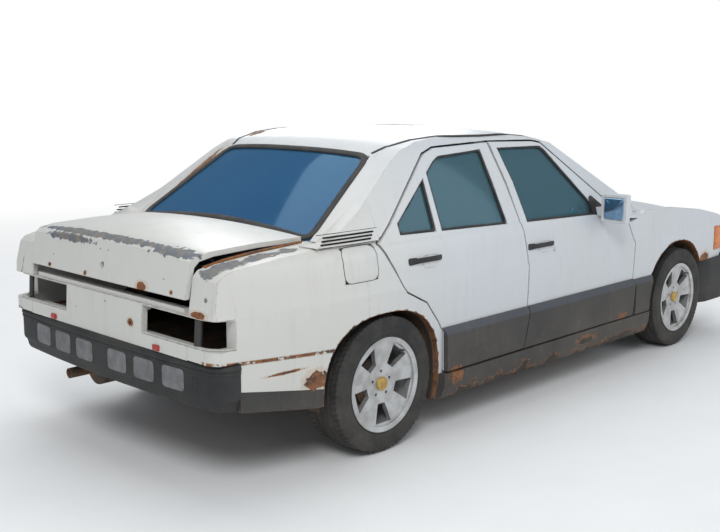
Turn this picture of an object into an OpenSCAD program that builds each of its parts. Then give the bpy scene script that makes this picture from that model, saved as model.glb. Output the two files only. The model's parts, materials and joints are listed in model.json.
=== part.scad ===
// Four-door saloon wreck: body shell, doors, bonnet and boot lid on hinges, and four wheels on stub axles.
// Millimetres. +X is forward, +Y is the car's left, +Z is up; the origin is on the ground under the middle.

/* [Overall] */
// Length over the bumpers
overall_length = 4420; // [4200:10:4600]
// Wheelbase
wheelbase = 2665; // [2600:5:2720]
// Rear axle to the back of the rear bumper
rear_overhang = 930; // [900:5:980]
// Half of the body's width over the door cladding
half_width = 838; // [810:1:860]
// Height of the roof's crown above the ground
roof_height = 1390; // [1370:1:1430]

/* [Panels] */
// Thickness of a door and of the side wall below the windows
door_t = 60; // [50:1:70]
// Thickness of the window frames and roof pillars
frame_t = 38; // [30:1:44]
// Thickness of roof, bonnet and boot lid
lid_t = 22; // [16:1:28]
// Gap between a moving panel and its frame
gap = 7; // [6:0.5:9]
// Depth of the grey cladding over the white skin
cladding_t = 22; // [16:1:28]
// Height of the cladding's top edge
cladding_top = 502; // [480:1:520]
// Height of the doors' bottom edge
door_bottom = 292; // [280:1:310]
// Height of the sill's underside
sill_bottom = 165; // [150:1:180]
// Window glass thickness
glass_t = 5; // [4:0.5:8]
// How far the bent hinges hold the boot lid above the deck
lid_lift = 20; // [15:1:30]
// Angle by which the unlatched boot lid stands open
lid_ajar = 3; // [1:0.5:5]

/* [Wheels] */
// Tyre outer radius
tyre_r = 308; // [295:1:314]
// Tyre width
tyre_w = 195; // [175:1:205]
// Rim flange radius
rim_r = 212; // [200:1:220]
// Wheel centre plane to the car's centre, front
front_track_half = 716; // [706:1:722]
// Wheel centre plane to the car's centre, rear
rear_track_half = 709; // [700:1:716]
// Radius of the stub axles
stub_r = 24; // [18:1:28]
// Running clearance between stub axle and hub
stub_clearance = 0.08; // [0.05:0.01:0.1]
// Radius of the circle through the wheel bolts
bolt_circle_r = 56; // [50:1:60]

/* [Hidden] */
$fn = 48;

// Stations along the car
rear_x = -overall_length / 2;
front_x = overall_length / 2;
rear_axle_x = rear_x + rear_overhang;
front_axle_x = rear_axle_x + wheelbase;
hub_z = tyre_r;

// The sides run straight past the doors, then follow a long arc in plan towards both ends
side_r = 6400;
side_straight = 1400;
roof_front = 183;
roof_rear = -1077;

// Skin of the side as [distance in from the cladding, height], below and above the belt
skin_in = [[44, sill_bottom - 5], [30, 260], [cladding_t + 4, cladding_top + 3], [cladding_t, 620],
           [cladding_t, 715], [cladding_t + 8, 732], [38, 820], [48, 890], [62, 920], [92, 945], [150, 968]];
glass_in = [[57, 870], [60, 900], [76, 950], [220, roof_height - 77], [242, roof_height - 48],
            [270, roof_height - 22], [330, roof_height - 2]];
flange_y = 532;

// Centre-line profiles as [x, z]
screen_base = [945, 925];
screen_top = [185, roof_height - 55];
window_top = [-1080, roof_height - 88];
window_base = [-1566, 985];
roof_line = [window_top, [-1000, roof_height - 48], [-860, roof_height - 17], [-700, roof_height - 3],
             [-480, roof_height], [-240, roof_height - 3], [0, roof_height - 22], screen_top];
roof_crown_r = 6000;
bonnet_line = [[990, 928], [1300, 902], [1650, 860], [1900, 812], [2060, 772]];
bonnet_crown_r = 5000;
deck_line = [[-1566, 974], [-1850, 958], [-2060, 938], [-2128, 922], [-2150, 900], [-2178, 735], [-2190, 540]];
deck_crown_r = 8000;
lid_front_x = -1580;
lid_hinge = [lid_front_x, 974 + lid_lift];
lid_half = 590;
bonnet_half = 700;
// Gap where a curved or slanting piece is seated on another
seat_gap = 0.3;
// Front edge of the windscreen and its half width there
screen_foot = [930, 652.68];

// Shut lines of the doors in side view as [x, z], clockwise; inset narrows the trailing upper edges
function front_line(inset) = [[790, door_bottom], [760, 292 - 1], [-292, door_bottom], [-238, 500], [-238, 750],
    [-262, 905], [-295 + inset, 1120], [-350 + inset, roof_height - 64], [30, roof_height - 72 - inset / 4],
    [100, roof_height - 84 - inset / 4], [735, 858], [760, 830], [816, 720], [812, 490]];
function rear_line(inset) = [[-900, door_bottom], [-905, 480], [-940, 535], [-1028, 640], [-1160, 705],
    [-1200, 770], [-1307 + inset, 928], [-1200 + inset, 1005], [-862 + inset, roof_height - 102 - inset / 4],
    [-780 + inset, roof_height - 76 - inset / 4], [-350, roof_height - 64 - inset / 4], [-295, 1120],
    [-262, 905], [-238, 750], [-238, 500], [-292, door_bottom]];
front_window_line = [[480, 905], [-205, 922], [-232, 1120], [-284, roof_height - 98], [85, roof_height - 102],
    [120, roof_height - 120]];
rear_window_line = [[-368, 928], [-868, 942], [-866, roof_height - 187], [-800, roof_height - 140],
    [-755, roof_height - 118], [-420, roof_height - 100], [-392, 1120]];
quarter_window_line = [[-905, 943], [-1150, 950], [-1150, 1000], [-898, roof_height - 210]];

// Moves every edge of a polygon outwards by d with mitred corners
function turn(v) = [v[1], -v[0]] / norm(v);
function spin(p) = sign([for (i = 0, s = 0; i <= len(p); s = s + cross(p[i % len(p)], p[(i + 1) % len(p)]),
    i = i + 1) s][len(p)]);
function outline(p, d) = [for (i = [0 : len(p) - 1])
    let (n = len(p), k = spin(p), e = k * turn(p[i] - p[(i + n - 1) % n]), f = k * turn(p[(i + 1) % n] - p[i]))
    p[i] + d * (e + f) / (1 + e * f)];
function reversed(p) = [for (i = [len(p) - 1 : -1 : 0]) p[i]];
function moved(p, d) = [for (q = p) q + d];
// Superellipse of a wheel arch: half length a, height b, exponent n
function arch(cx, cz, a, b, n) = [for (t = [0 : 10 : 350])
    [cx + a * sign(cos(t)) * pow(abs(cos(t)), 2 / n), cz + b * sign(sin(t)) * pow(abs(sin(t)), 2 / n)]];
rear_arch = arch(rear_axle_x - 15, 305, 362, 330, 2.5);
front_arch = arch(front_axle_x - 32, 305, 366, 364, 2.1);

// Building blocks
module along_y(points, y0, y1) translate([0, y1, 0]) rotate([90, 0, 0]) linear_extrude(y1 - y0) polygon(points);
module block(x0, x1, y0, y1, z0, z1) translate([x0, y0, z0]) cube([x1 - x0, y1 - y0, z1 - z0]);
module right() mirror([0, 1, 0]) children();
module both() {
    children();
    right() children();
}
module rod(x, y0, y1, z, r) translate([x, y1, z]) rotate([90, 0, 0]) cylinder(h = y1 - y0, r = r);
module straight_side(section, half = side_straight) translate([-half, 0, 0]) rotate([90, 0, 90])
    linear_extrude(2 * half) polygon(section);
// Sweeps a [y, z] section along the left side: straight in the middle, curving in towards the ends
module sweep_side(section) {
    straight_side(section);
    for (m = [0, 1]) mirror([m, 0, 0]) translate([side_straight, half_width - side_r, 0]) rotate([0, 0, 81.56])
        rotate_extrude(angle = 8.44, $fn = 360) polygon([for (p = section) [side_r - half_width + p[0], p[1]]]);
}
// Sweeps an [x, z] profile over a crown of radius r whose top is at height top
module sweep_crown(profile, r, top, half_angle)
    translate([0, 0, top - r]) rotate([0, 90, 0]) rotate([0, 0, 180 - half_angle])
        rotate_extrude(angle = 2 * half_angle, $fn = 360) polygon([for (p = profile) [r - top + p[1], p[0]]]);
function wall(list, t) = concat([for (q = list) [half_width - q[0], q[1]]],
    [for (q = reversed(list)) [half_width - q[0] - t, q[1]]]);
module lower_wall(t) sweep_side(wall(skin_in, t));
module upper_wall(t) sweep_side(wall(glass_in, t));
// Everything on the car's side of the outer skin
module inside_side() {
    sweep_side(concat([[300, 900]], [for (q = glass_in) if (q[1] >= 900) [half_width - q[0], q[1]]],
        [[300, roof_height + 2]]));
    sweep_side(concat([[300, 100]], [for (q = skin_in) [half_width - q[0], q[1]]], [[300, 968]]));
}
module cladding_band(z0, z1) straight_side([[half_width - cladding_t - 12, z0], [half_width - 3, z0],
    [half_width, z0 + 20], [half_width, z1 - 34], [half_width - cladding_t + 5, z1],
    [half_width - cladding_t - 12, z1]]);
// Everything under the roof, the windscreen and the rear window
module under_roof(drop = 0) sweep_crown(moved(concat([[1500, 200], [1500, 627]], [screen_base],
    reversed(roof_line), [window_base, [-1900, 752], [-1900, 200]]), [0, -drop]), roof_crown_r, roof_height - drop, 7.74);
module roof_shell(t) difference() {
    under_roof();
    under_roof(t);
}
module under_bonnet(drop = 0) sweep_crown(moved(concat([[700, 100], [2140, 100], [2140, 640], [2120, 730]],
    reversed(bonnet_line), [[700, 945]]), [0, -drop]), bonnet_crown_r, 928 - drop, 10.5);
module under_deck(drop = 0) sweep_crown(moved(concat([[-1400, 100], [-1400, 979]], deck_line, [[-2190, 100]]),
    [drop, -drop]), deck_crown_r, 974 - drop, 5.63);
module deck_shell(t) difference() {
    under_deck();
    under_deck(t);
}
// Plan shape with round corners and slightly bowed ends
module plan(x0, x1, y, r, bow) intersection() {
    union() {
        translate([x0 + r, -y]) square([x1 - x0 - 2 * r, 2 * y]);
        translate([x0, r - y]) square([x1 - x0, 2 * y - 2 * r]);
        for (x = [x0 + r, x1 - r], s = [-1, 1]) translate([x, s * (y - r)]) circle(r);
    }
    translate([x1 - bow, 0]) circle(bow, $fn = 360);
    translate([x0 + 2.5 * bow, 0]) circle(2.5 * bow, $fn = 360);
}
module slice(z0, z1) translate([0, 0, z0]) linear_extrude(z1 - z0) children();
module body_plan() slice(100, 1500) plan(-2192, 2145, 800, 110, 3000);

// Side of the shell: quarter panel, roof rail, pillars and sill
lamp_box = [[-2300, -2088], [291, 900], [609, 728]];
module lamp_cut() block(lamp_box[0][0], lamp_box[0][1], lamp_box[1][0], lamp_box[1][1], lamp_box[2][0], lamp_box[2][1]);
module door_openings() {
    along_y(outline(front_line(0), gap / 2), 400, 900);
    along_y(outline(rear_line(0), gap / 2), 400, 900);
}
module rear_corner_cut() difference() {
    block(-2300, -2082, 690, 900, 100, 1100);
    translate([-2082, 690, 50]) cylinder(h = 1200, r = 110);
}
// Quarter panel and what shows below the doors
module quarter() intersection() {
    lower_wall(door_t);
    along_y([[813, 165], [-1300, 165], [-1300, 288], [-1690, 296], [-2068, 356], [-2068, 556], [-2188, 556], [-2178, 735],
        [-2147, 872], [-2125, 892], [-2060, 909], [-1850, 929], [-1566, 946], [-1420, 952], [-1420, 935],
        [-1200, 935], [813, 935]], 500, 900);
}
module pillars() difference() {
    intersection() {
        upper_wall(frame_t);
        under_roof();
    }
    along_y([[-2200, 500], [-2200, 1500], [-1640, 1500], [-1640, 500]], 300, 900);
    along_y([[680, 500], [680, 880], [935, 862], [935, 1500], [1100, 1500], [1100, 500]], 300, 900);
}
module screen_flange() difference() {
    intersection() {
        roof_shell(lid_t);
        upper_wall(250);
    }
    along_y([[-2200, 500], [-2200, 1500], [-1600, 1500], [-1600, 960], [-1500, 940], [-1500, 500]], 100, 900);
    along_y([[500, 500], [680, 880], [930, 862], [930, 1500], [1600, 1500], [1600, 200]], 100, 900);
    slice(500, 1500) polygon([[1000, -100], [1000, 664], [roof_front, flange_y], [roof_rear, flange_y],
        [roof_rear, 508], [-1650, 642], [-1650, -100]]);
}
module deck_flange() difference() {
    intersection() {
        deck_shell(lid_t);
        sweep_side(concat([[400, 500]], [for (q = skin_in) if (q[1] > 500) [half_width - q[0], q[1]]], [[400, 968]]));
    }
    block(-3000, -1000, 100, lid_half + gap, 0, 1500);
    block(-3000, -1000, 100, 900, 0, 556);
    block(-1500, -1000, 100, 900, 0, 1500);
    block(-1560 - seat_gap, -1000, 100, 621, 0, 1500);
}
module roof_rail() difference() {
    intersection() {
        under_roof(4);
        upper_wall(70);
    }
    block(-3000, -900, 300, 900, 800, 1500);
    block(100, 1000, 300, 900, 800, 1500);
    block(-1000, 200, 300, 900, 800, 1296);
    block(-1000, 200, 0, flange_y, 800, 1500);
}
// Room for the wing below the foot of the windscreen pillar
module wing_space() intersection() {
    under_bonnet(-seat_gap);
    block(735 - seat_gap, 1200, bonnet_half + gap - seat_gap, 900, 100, 1500);
}
// Sill, hinge pillar and centre pillar, all inboard of the doors
module sill() {
    block(-915, 985, 690, 790, 165, door_bottom - gap);
    intersection() {
        sweep_side([[half_width - cladding_t - 20, 165], [half_width - 26, 165], [half_width - 4, 225],
            [half_width, door_bottom - gap], [half_width - cladding_t - 20, door_bottom - gap]]);
        block(-915, 985, 700, 900, 100, 400);
    }
    block(820, 880, 690, 760, 165, 850);
}
module centre_pillar() {
    along_y([[-345, 200], [-345, 500], [-295, 760], [-335, 950], [-228, 950], [-190, 760],
        [-190, 500], [-245, 200]], 690, 718);
    difference() {
        intersection() {
            sweep_side(wall(moved(glass_in, [frame_t + 8, 0]), 40));
            along_y([[-335, 910], [-335, 950], [-400, 1345], [-310, 1345], [-228, 950], [-228, 910]], 300, 900);
        }
        block(-500, 0, 300, 900, 1325, 1500);
    }
}
module side_frame() {
    difference() {
        union() {
            difference() {
                union() {
                    quarter();
                    pillars();
                    screen_flange();
                    deck_flange();
                    roof_rail();
                }
                door_openings();
                wing_space();
            }
            sill();
            centre_pillar();
            wheelhouse();
        }
        along_y(rear_arch, 600, 900);
        lamp_cut();
        rear_corner_cut();
        for (x = [-760, 640]) translate([x, 745, 160]) cylinder(h = 45, r = 12.5);
    }
}
// Liner over the rear wheel
module wheelhouse() difference() {
    intersection() {
        rod(rear_axle_x - 15, 580, 775, 305, 362);
        block(-1700, -900, 500, 900, 390, 700);
    }
    rod(rear_axle_x - 15, 596, 800, 305, 346);
}
module fuel_pocket(e) along_y(outline([[-1526, 790], [-1336, 790], [-1336, 930], [-1526, 930]], e), 500, 900);

module left_side_frame() color("white") side_frame();
module right_side_frame() color("white") difference() {
    right() side_frame();
    right() difference() {
        fuel_pocket(gap / 2);
        intersection() {
            sweep_side(wall(moved(skin_in, [24, 0]), 60));
            fuel_pocket(40);
        }
    }
}
module fuel_flap() color("white") right() intersection() {
    straight_side(wall(skin_in, 8), 1600);
    fuel_pocket(-gap / 2);
}

module roof_panel() color("white") intersection() {
    roof_shell(lid_t);
    block(roof_rear, roof_front, -flange_y, flange_y, 1200, 1500);
}
module rear_panel() color("white") difference() {
    union() {
        intersection() {
            deck_shell(26);
            block(-2300, -2000, -lid_half - gap, lid_half + gap, 553, 730);
        }
        block(-2166, -2135, -560, 560, 700, 749);
        block(-2172, -2115, -lid_half, lid_half, 556, 600);
        block(-2130, -2115, -lid_half, lid_half, 385, 590);
    }
    both() lamp_cut();
    for (y = [-210, 210]) translate([-2140, y, 640]) rotate([0, -90, 0]) cylinder(h = 60, r = 3.5);
}
module rear_shelf() color("dimgray") {
    intersection() {
        under_deck();
        block(lid_front_x + gap, -1560, -lid_half - gap, lid_half + gap, 915, 1000);
    }
    block(lid_front_x + gap, -1130, -640, 640, 905, 920);
}
module bulkhead() color("white") {
    // Firewall, cowl and the rails with the strut towers
    block(880, 900, -750, 750, door_bottom - gap, 850);
    block(880, 900, -690, 690, 190, door_bottom);
    difference() {
        intersection() {
            under_bonnet();
            along_y([[880, 840], [880, 945], [983, 945], [983, 860], [920, 840]], -690, 690);
        }
        // Seats of the windscreen and of the pillars' flanges
        difference() {
            block(800, screen_foot[0], -700, 700, 800, 1100);
            under_roof(5 + seat_gap + glass_t * 1.13);
        }
        both() slice(800, 1100) polygon([[800, 631.4], screen_foot - [0, seat_gap], [screen_foot[0], 700],
            [800, 700]]);
    }
    both() {
        block(900, 2010, 400, 440, 420, 500);
        difference() {
            union() {
                translate([front_axle_x, tower_y, 700]) cylinder(h = 100, r = 78);
                block(900, 1800, 440, 474, 640, 780);
                block(front_axle_x - 90, front_axle_x + 90, 435, 474, 480, 760);
            }
            translate([front_axle_x, tower_y, 690]) cylinder(h = 98, r = 68);
            translate([front_axle_x, tower_y, 690]) cylinder(h = 140, r = 40);
        }
        block(900, 940, 400, 440, 420, 700);
        // Rear wall of the front wheelhouse
        block(985, 1000, 440, 770, 165, 650);
        block(890, 1000, 440, 455, 165, 500);
    }
}
tower_y = 548;
module front_corner_cut() difference() {
    block(1985, 2300, 645, 900, 100, 1100);
    translate([1985, 645, 50]) cylinder(h = 1200, r = 118);
}
module wing() difference() {
    union() {
        difference() {
            lower_wall(30);
            block(600, 1700, 600, 900, 0, door_bottom - gap);
            block(600, 818, 600, 900, 0, 400);
            block(1660, 2300, 500, 900, 0, 500);
            along_y([[760, 830], [735, 858], [700, 871], [700, 1500], [2300, 1500], [2300, 740], [2060, 747],
                [1900, 787], [1650, 835], [1300, 876], [960, 888], [935, 861]], 600, 900);
            block(-2500, 735, 400, 900, 0, 1500);
        }
        difference() {
            intersection() {
                under_bonnet();
                sweep_side(concat([[600, 500]], [for (q = skin_in) if (q[1] > 500) [half_width - q[0], q[1]]],
                    [[600, 968]]));
            }
            under_bonnet(lid_t);
            block(600, 3000, -900, bonnet_half + gap, 0, 1500);
            block(600, 735, 400, 900, 0, 1500);
        }
        // Stiffener inside the panel
        block(1340, 1460, 768, 800, 690, 780);
    }
    along_y(outline(front_line(0), gap / 2), 400, 900);
    along_y(front_arch, 500, 900);
    block(1990, 2300, 500, 900, 400, 740);
    block(2063, 2500, 500, 900, 0, 1500);
    front_corner_cut();
}
module wing_cladding() difference() {
    intersection() {
        cladding_band(door_bottom + 0, cladding_top - 6);
        along_y([[816, 200], [1100, 200], [1100, 600], [816, 600]], 700, 900);
    }
    along_y(outline(front_line(0), gap / 2), 400, 900);
    along_y(outline(front_arch, 6), 500, 900);
}
module left_wing() color("white") {
    wing();
    wing_cladding();
}
module right_wing() color("white") right() left_wing();
module nose_panel() color("white") difference() {
    union() {
        intersection() {
            under_bonnet();
            block(2063, 2105, -740, 740, 500, 790);
        }
        block(2010, 2068, -560, 560, 440, 520);
    }
    both() block(2000, 2200, 400, 690, 570, 720);
    block(2000, 2200, -360, 360, 580, 715);
}
module bonnet() color("white") difference() {
    intersection() {
        difference() {
            under_bonnet();
            under_bonnet(lid_t);
        }
        block(990, 2060, -bonnet_half, bonnet_half, 600, 1000);
    }
}
module boot_lid() color("white") translate([lid_hinge[0], 0, lid_hinge[1]]) rotate([0, lid_ajar, 0])
    translate([-lid_hinge[0], 0, -lid_hinge[1] + lid_lift]) difference() {
        intersection() {
            deck_shell(20);
            block(-2300, lid_front_x, -lid_half, lid_half, 737, 1000);
        }
        translate([-2100, 0, 800]) rotate([0, -90, 0]) cylinder(h = 100, r = 14);
    }

module door_solid(line_outer, line_inner) {
    intersection() {
        union() {
            straight_side(wall(skin_in, 14));
            straight_side(wall(glass_in, 12));
        }
        along_y(line_outer, 400, 900);
    }
    intersection() {
        union() {
            straight_side(wall(skin_in, door_t));
            straight_side(wall(glass_in, frame_t));
        }
        along_y(line_inner, 400, 900);
    }
    intersection() {
        cladding_band(door_bottom, cladding_top);
        along_y(line_outer, 400, 900);
    }
}
// Room for the centre pillar behind the shoulder of both doors
module pillar_pocket() block(-430, -180, 400, 736, 884, 972);
module front_door() difference() {
    door_solid(outline(front_line(8), -gap / 2), outline(front_line(8), -gap / 2 - 14));
    along_y(front_window_line, 400, 900);
    along_y([[720, 905], [-190, 922], [-190, 985], [720, 985]], 400, 740 - frame_t);
    pillar_pocket();
}
module rear_door() difference() {
    door_solid(outline(rear_line(8), -gap / 2), outline(rear_line(8), -gap / 2 - 14));
    along_y(rear_window_line, 400, 900);
    along_y(quarter_window_line, 400, 900);
    pillar_pocket();
}
module door_glass(line) intersection() {
    straight_side(wall(moved(glass_in, [16, 0]), glass_t));
    along_y(line, 400, 900);
}
module front_left_door() color("white") front_door();
module front_right_door() color("white") right() front_door();
module rear_left_door() color("white") rear_door();
module rear_right_door() color("white") right() rear_door();
module front_left_glass() color("teal") door_glass(front_window_line);
module front_right_glass() color("teal") right() door_glass(front_window_line);
module rear_left_glass() color("teal") {
    door_glass(rear_window_line);
    door_glass(quarter_window_line);
}
module rear_right_glass() color("teal") right() rear_left_glass();
module windscreen() color("teal") intersection() {
    difference() {
        under_roof(5);
        under_roof(5 + glass_t * 1.13);
    }
    slice(860, 1500) polygon([screen_foot, [roof_front, flange_y], [roof_front, -flange_y],
        [screen_foot[0], -screen_foot[1]]]);
}
module rear_window() color("teal") intersection() {
    difference() {
        under_roof(5);
        under_roof(5 + glass_t * 1.2);
    }
    slice(860, 1500) polygon([[roof_rear, 507.6], [-1560, 620.5], [-1560, -620.5], [roof_rear, -507.6]]);
}

module front_bumper() color("dimgray") difference() {
    union() {
        slice(330, 500) plan(1640, front_x, 806, 200, 2600);
        slice(215, 330) plan(1640, front_x - 25, 796, 190, 2600);
    }
    slice(200, 600) plan(1500, front_x - 70, 752, 160, 2600);
    block(1000, 1660, -900, 900, 100, 600);
    along_y(outline(front_arch, 6), -900, 900);
    block(2000, 2300, -420, 420, 250, 310);
    translate([2100, 320, 390]) rotate([0, 90, 0]) cylinder(h = 200, r = 9);
}
module rear_bumper() color("dimgray") difference() {
    union() {
        slice(436, 553) plan(rear_x, 2000, 786, 90, 3000);
        slice(356, 436) plan(rear_x + 18, 2000, 776, 90, 3000);
    }
    block(-2130, 2400, -735, 735, 100, 700);
    block(-2070, 2400, -900, 900, 100, 700);
}
module grille() color("black") {
    block(2075, 2085, -360, 360, 580, 715);
    for (z = [594, 620, 646, 672, 698]) block(2085, 2110, -360, 360, z - 4, z + 4);
}
module headlamps() color("lightgray") both() block(2070, 2108, 400, 690, 570, 720);
module indicators() color("orange") both() intersection() {
    block(1990, 2090, 707, 800, 570, 700);
    body_plan();
}
mirror_at = [470, 905];
module door_mirror() {
    difference() {
        union() {
            slice(872, 1020) intersection() {
                translate([470, 890]) square([90, 150], center = true);
                translate([430, 880]) circle(94);
            }
            block(440, 505, 770, 850, 900, 945);
        }
        block(400, 430, 830, 950, 885, 1007);
        // The arm ends on the door's skin
        straight_side(wall(skin_in, door_t));
        straight_side(wall(glass_in, frame_t));
    }
}
module left_mirror() color("white") door_mirror();
module right_mirror() color("white") right() door_mirror();

module seat(y) {
    along_y([[-330, 240], [-360, 330], [-330, 430], [180, 470], [215, 430], [200, 300], [180, 240]], y - 255, y + 255);
    along_y([[-260, 300], [-380, 330], [-545, 985], [-500, 1010], [-420, 990]], y - 240, y + 240);
    along_y([[-515, 960], [-560, 1010], [-590, 1180], [-560, 1200], [-490, 1190], [-470, 1000]], y - 130, y + 130);
    block(-300, 150, y - 220, y - 190, 190, 250);
    block(-300, 150, y + 190, y + 220, 190, 250);
}
module front_seats() color("slategray") {
    seat(370);
    seat(-370);
}
module rear_seat() color("slategray") {
    along_y([[-905, 190], [-905, 420], [-500, 455], [-470, 420], [-480, 300], [-600, 190]], -560, 560);
    along_y([[-905, 405], [-1120, 905], [-1060, 915], [-960, 850], [-800, 430]], -570, 570);
}
column_r = 24;
column_length = 170;
module at_steering_wheel() translate([520, 370, 800]) rotate([0, -65, 0]) children();
module dashboard() color("dimgray") {
    difference() {
        along_y([[880, 600], [700, 620], [620, 700], [640, 860], [700, 885], [880, 865]], -680, 680);
        at_steering_wheel() translate([0, 0, -column_length]) cylinder(h = column_length, r = column_r + seat_gap);
    }
    block(0, 700, -80, 80, 190, 420);
    block(600, 880, -110, 110, 190, 640);
}
module steering_wheel() color("black") at_steering_wheel() {
    rotate_extrude() translate([178, 0]) circle(14, $fn = 32);
    translate([0, 0, -20]) cylinder(h = 40, r = 55);
    for (a = [0, 120, 240]) rotate([0, 0, a + 90]) translate([30, -18, -8]) cube([150, 36, 16]);
    translate([0, 0, -column_length]) cylinder(h = column_length, r = column_r);
}
module engine_block() color("gray") block(1150, 1700, -260, 260, 240, 760);
module exhaust() color("brown") {
    translate([-1350, 0, 140]) rotate([0, 90, 0]) cylinder(h = 2600, r = 24);
    for (x = [900, -300]) block(x, x + 20, -15, 15, 140, 175);
    translate([1250, 0, 140]) cylinder(h = 100, r = 24);
    translate([1250, 0, 140]) sphere(24);
    translate([-1350, 0, 140]) sphere(24);
    translate([-500, 0, 128]) rotate([0, 90, 0]) cylinder(h = 450, r = 46);
    translate([-1350, 0, 140]) rotate([0, 0, atan2(401, -230)]) rotate([0, 90 - atan2(147, norm([401, 230])), 0])
        cylinder(h = norm([401, 230, 147]), r = 24);
    translate([-1580, 401, 287]) sphere(24);
    translate([-1980, 401, 287]) rotate([0, 90, 0]) cylinder(h = 400, r = 82);
    translate([-2125, 401, 287]) rotate([0, 90, 0]) difference() {
        cylinder(h = 200, r = 24);
        translate([0, 0, -1]) cylinder(h = 150, r = 20);
    }
    block(-1800, -1780, 391, 411, 340, 390);
}
module floor_pan() color("saddlebrown") {
    block(-905, 880, -690, 690, 175, 190);
    block(-920, -905, -690, 690, 175, 405);
    block(-2115, -920, -580, 580, 390, 405);
    both() block(-1700, -1650, 500, 560, 300, 390);
    block(880, 980, -400, 400, 175, 190);
}
// Front cross-member, lower arms and anti-roll bar
kingpin_lean = 9.3;
kingpin_low = [632, 190];
function kingpin_y(z) = kingpin_low[0] - (z - kingpin_low[1]) * tan(kingpin_lean);
module on_kingpin(z) translate([front_axle_x, kingpin_y(z), z]) rotate([kingpin_lean, 0, 0]) children();
module front_subframe() color("darkslategray") {
    block(front_axle_x - 60, front_axle_x + 60, -400, 400, 200, 240);
    both() {
        block(940, 1900, 400, 440, 175, 235);
        block(900, 940, 400, 440, 175, 420);
        block(1860, 1900, 400, 440, 175, 420);
        difference() {
            union() {
                along_y([[front_axle_x - 25, 178], [front_axle_x - 25, 202], [front_axle_x + 25, 202],
                    [front_axle_x + 25, 178]], 430, kingpin_y(190));
                on_kingpin(178) cylinder(h = 24, r = 26);
            }
            on_kingpin(150) cylinder(h = 100, r = 12.4);
        }
    }
}
module knuckle() {
    on_kingpin(172) cylinder(h = 60, r = 12);
    on_kingpin(208) cylinder(h = 220, r = 27);
    block(front_axle_x - 35, front_axle_x + 35, kingpin_y(hub_z) - 10, front_track_half - 50, hub_z - 50, hub_z + 50);
    rod(front_axle_x, front_track_half - 60, front_track_half + 40, hub_z, stub_r);
    on_kingpin(400) cylinder(h = 230, r = 22);
    on_kingpin(600) cylinder(h = 10, r = 55);
    on_kingpin(605) cylinder(h = 130, r = 50);
    on_kingpin(700) cylinder(h = 105, r = 12);
}
module left_knuckle() color("dimgray") knuckle();
module right_knuckle() color("dimgray") right() knuckle();
module rear_axle() color("dimgray") {
    block(rear_axle_x + 120, rear_axle_x + 180, -540, 540, 235, 285);
    both() {
        block(rear_axle_x - 30, rear_axle_x + 340, 500, 550, 220, 290);
        block(rear_axle_x + 330, -920, 500, 550, 185, 290);
        block(rear_axle_x - 45, rear_axle_x + 45, 500, rear_track_half - 45, hub_z - 45, hub_z + 45);
        rod(rear_axle_x, 600, rear_track_half + 40, hub_z, stub_r);
        translate([rear_axle_x, 530, 290]) cylinder(h = 100, r = 45);
    }
}

// Wheels, built at the origin with the axle along Y
module tyre() rotate([90, 0, 0]) rotate_extrude($fn = 120) polygon([[rim_r - 12, -tyre_w / 2 + 12],
    [rim_r + 8, -tyre_w / 2 + 2], [rim_r + 40, -tyre_w / 2], [tyre_r - 18, -tyre_w / 2 + 8], [tyre_r - 4, -tyre_w / 2 + 20],
    [tyre_r, -tyre_w / 2 + 40], [tyre_r, tyre_w / 2 - 40], [tyre_r - 4, tyre_w / 2 - 20], [tyre_r - 18, tyre_w / 2 - 8],
    [rim_r + 40, tyre_w / 2], [rim_r + 8, tyre_w / 2 - 2], [rim_r - 12, tyre_w / 2 - 12]]);
module rim() difference() {
    union() {
        rotate([90, 0, 0]) rotate_extrude($fn = 120) polygon([[rim_r - 22, -tyre_w / 2 + 8],
            [rim_r, -tyre_w / 2 + 4], [rim_r, -tyre_w / 2 + 6 - seat_gap], [rim_r - 12, -tyre_w / 2 + 12],
            [rim_r - 12, tyre_w / 2 - 12], [rim_r, tyre_w / 2 - 6 + seat_gap], [rim_r, tyre_w / 2 - 4],
            [rim_r - 22, tyre_w / 2 - 8], [rim_r - 30, 0]]);
        rotate([90, 0, 0]) rotate_extrude($fn = 120) polygon([[0, -tyre_w / 2 + 30], [75, -tyre_w / 2 + 34],
            [rim_r - 26, -tyre_w / 2 + 16], [rim_r - 18, -tyre_w / 2 + 16], [rim_r - 18, -tyre_w / 2 + 44],
            [rim_r - 40, -tyre_w / 2 + 44], [80, -tyre_w / 2 + 58], [60, -tyre_w / 2 + 90], [0, -tyre_w / 2 + 90]]);
    }
    rotate([90, 0, 0]) translate([0, 0, -tyre_w / 2 + 50]) cylinder(h = 100, r = stub_r + stub_clearance);
    for (k = [0 : 4]) rotate([0, -72 * k, 0]) {
        translate([0, 0, bolt_circle_r]) rod(0, 0, 200, 0, 7);
        rotate([0, 36, 0]) along_y([[-22, 90], [-50, 175], [50, 175], [22, 90]], 0, 200);
    }
}
module at_wheel(x, y) translate([x, y, hub_z]) children();
module front_left_tyre() color([0.1, 0.1, 0.1]) at_wheel(front_axle_x, front_track_half) tyre();
module front_right_tyre() color([0.1, 0.1, 0.1]) at_wheel(front_axle_x, -front_track_half) right() tyre();
module rear_left_tyre() color([0.1, 0.1, 0.1]) at_wheel(rear_axle_x, rear_track_half) tyre();
module rear_right_tyre() color([0.1, 0.1, 0.1]) at_wheel(rear_axle_x, -rear_track_half) right() tyre();
module front_left_rim() color("silver") at_wheel(front_axle_x, front_track_half) rim();
module front_right_rim() color("silver") at_wheel(front_axle_x, -front_track_half) right() rim();
module rear_left_rim() color("silver") at_wheel(rear_axle_x, rear_track_half) rim();
module rear_right_rim() color("silver") at_wheel(rear_axle_x, -rear_track_half) right() rim();

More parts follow.
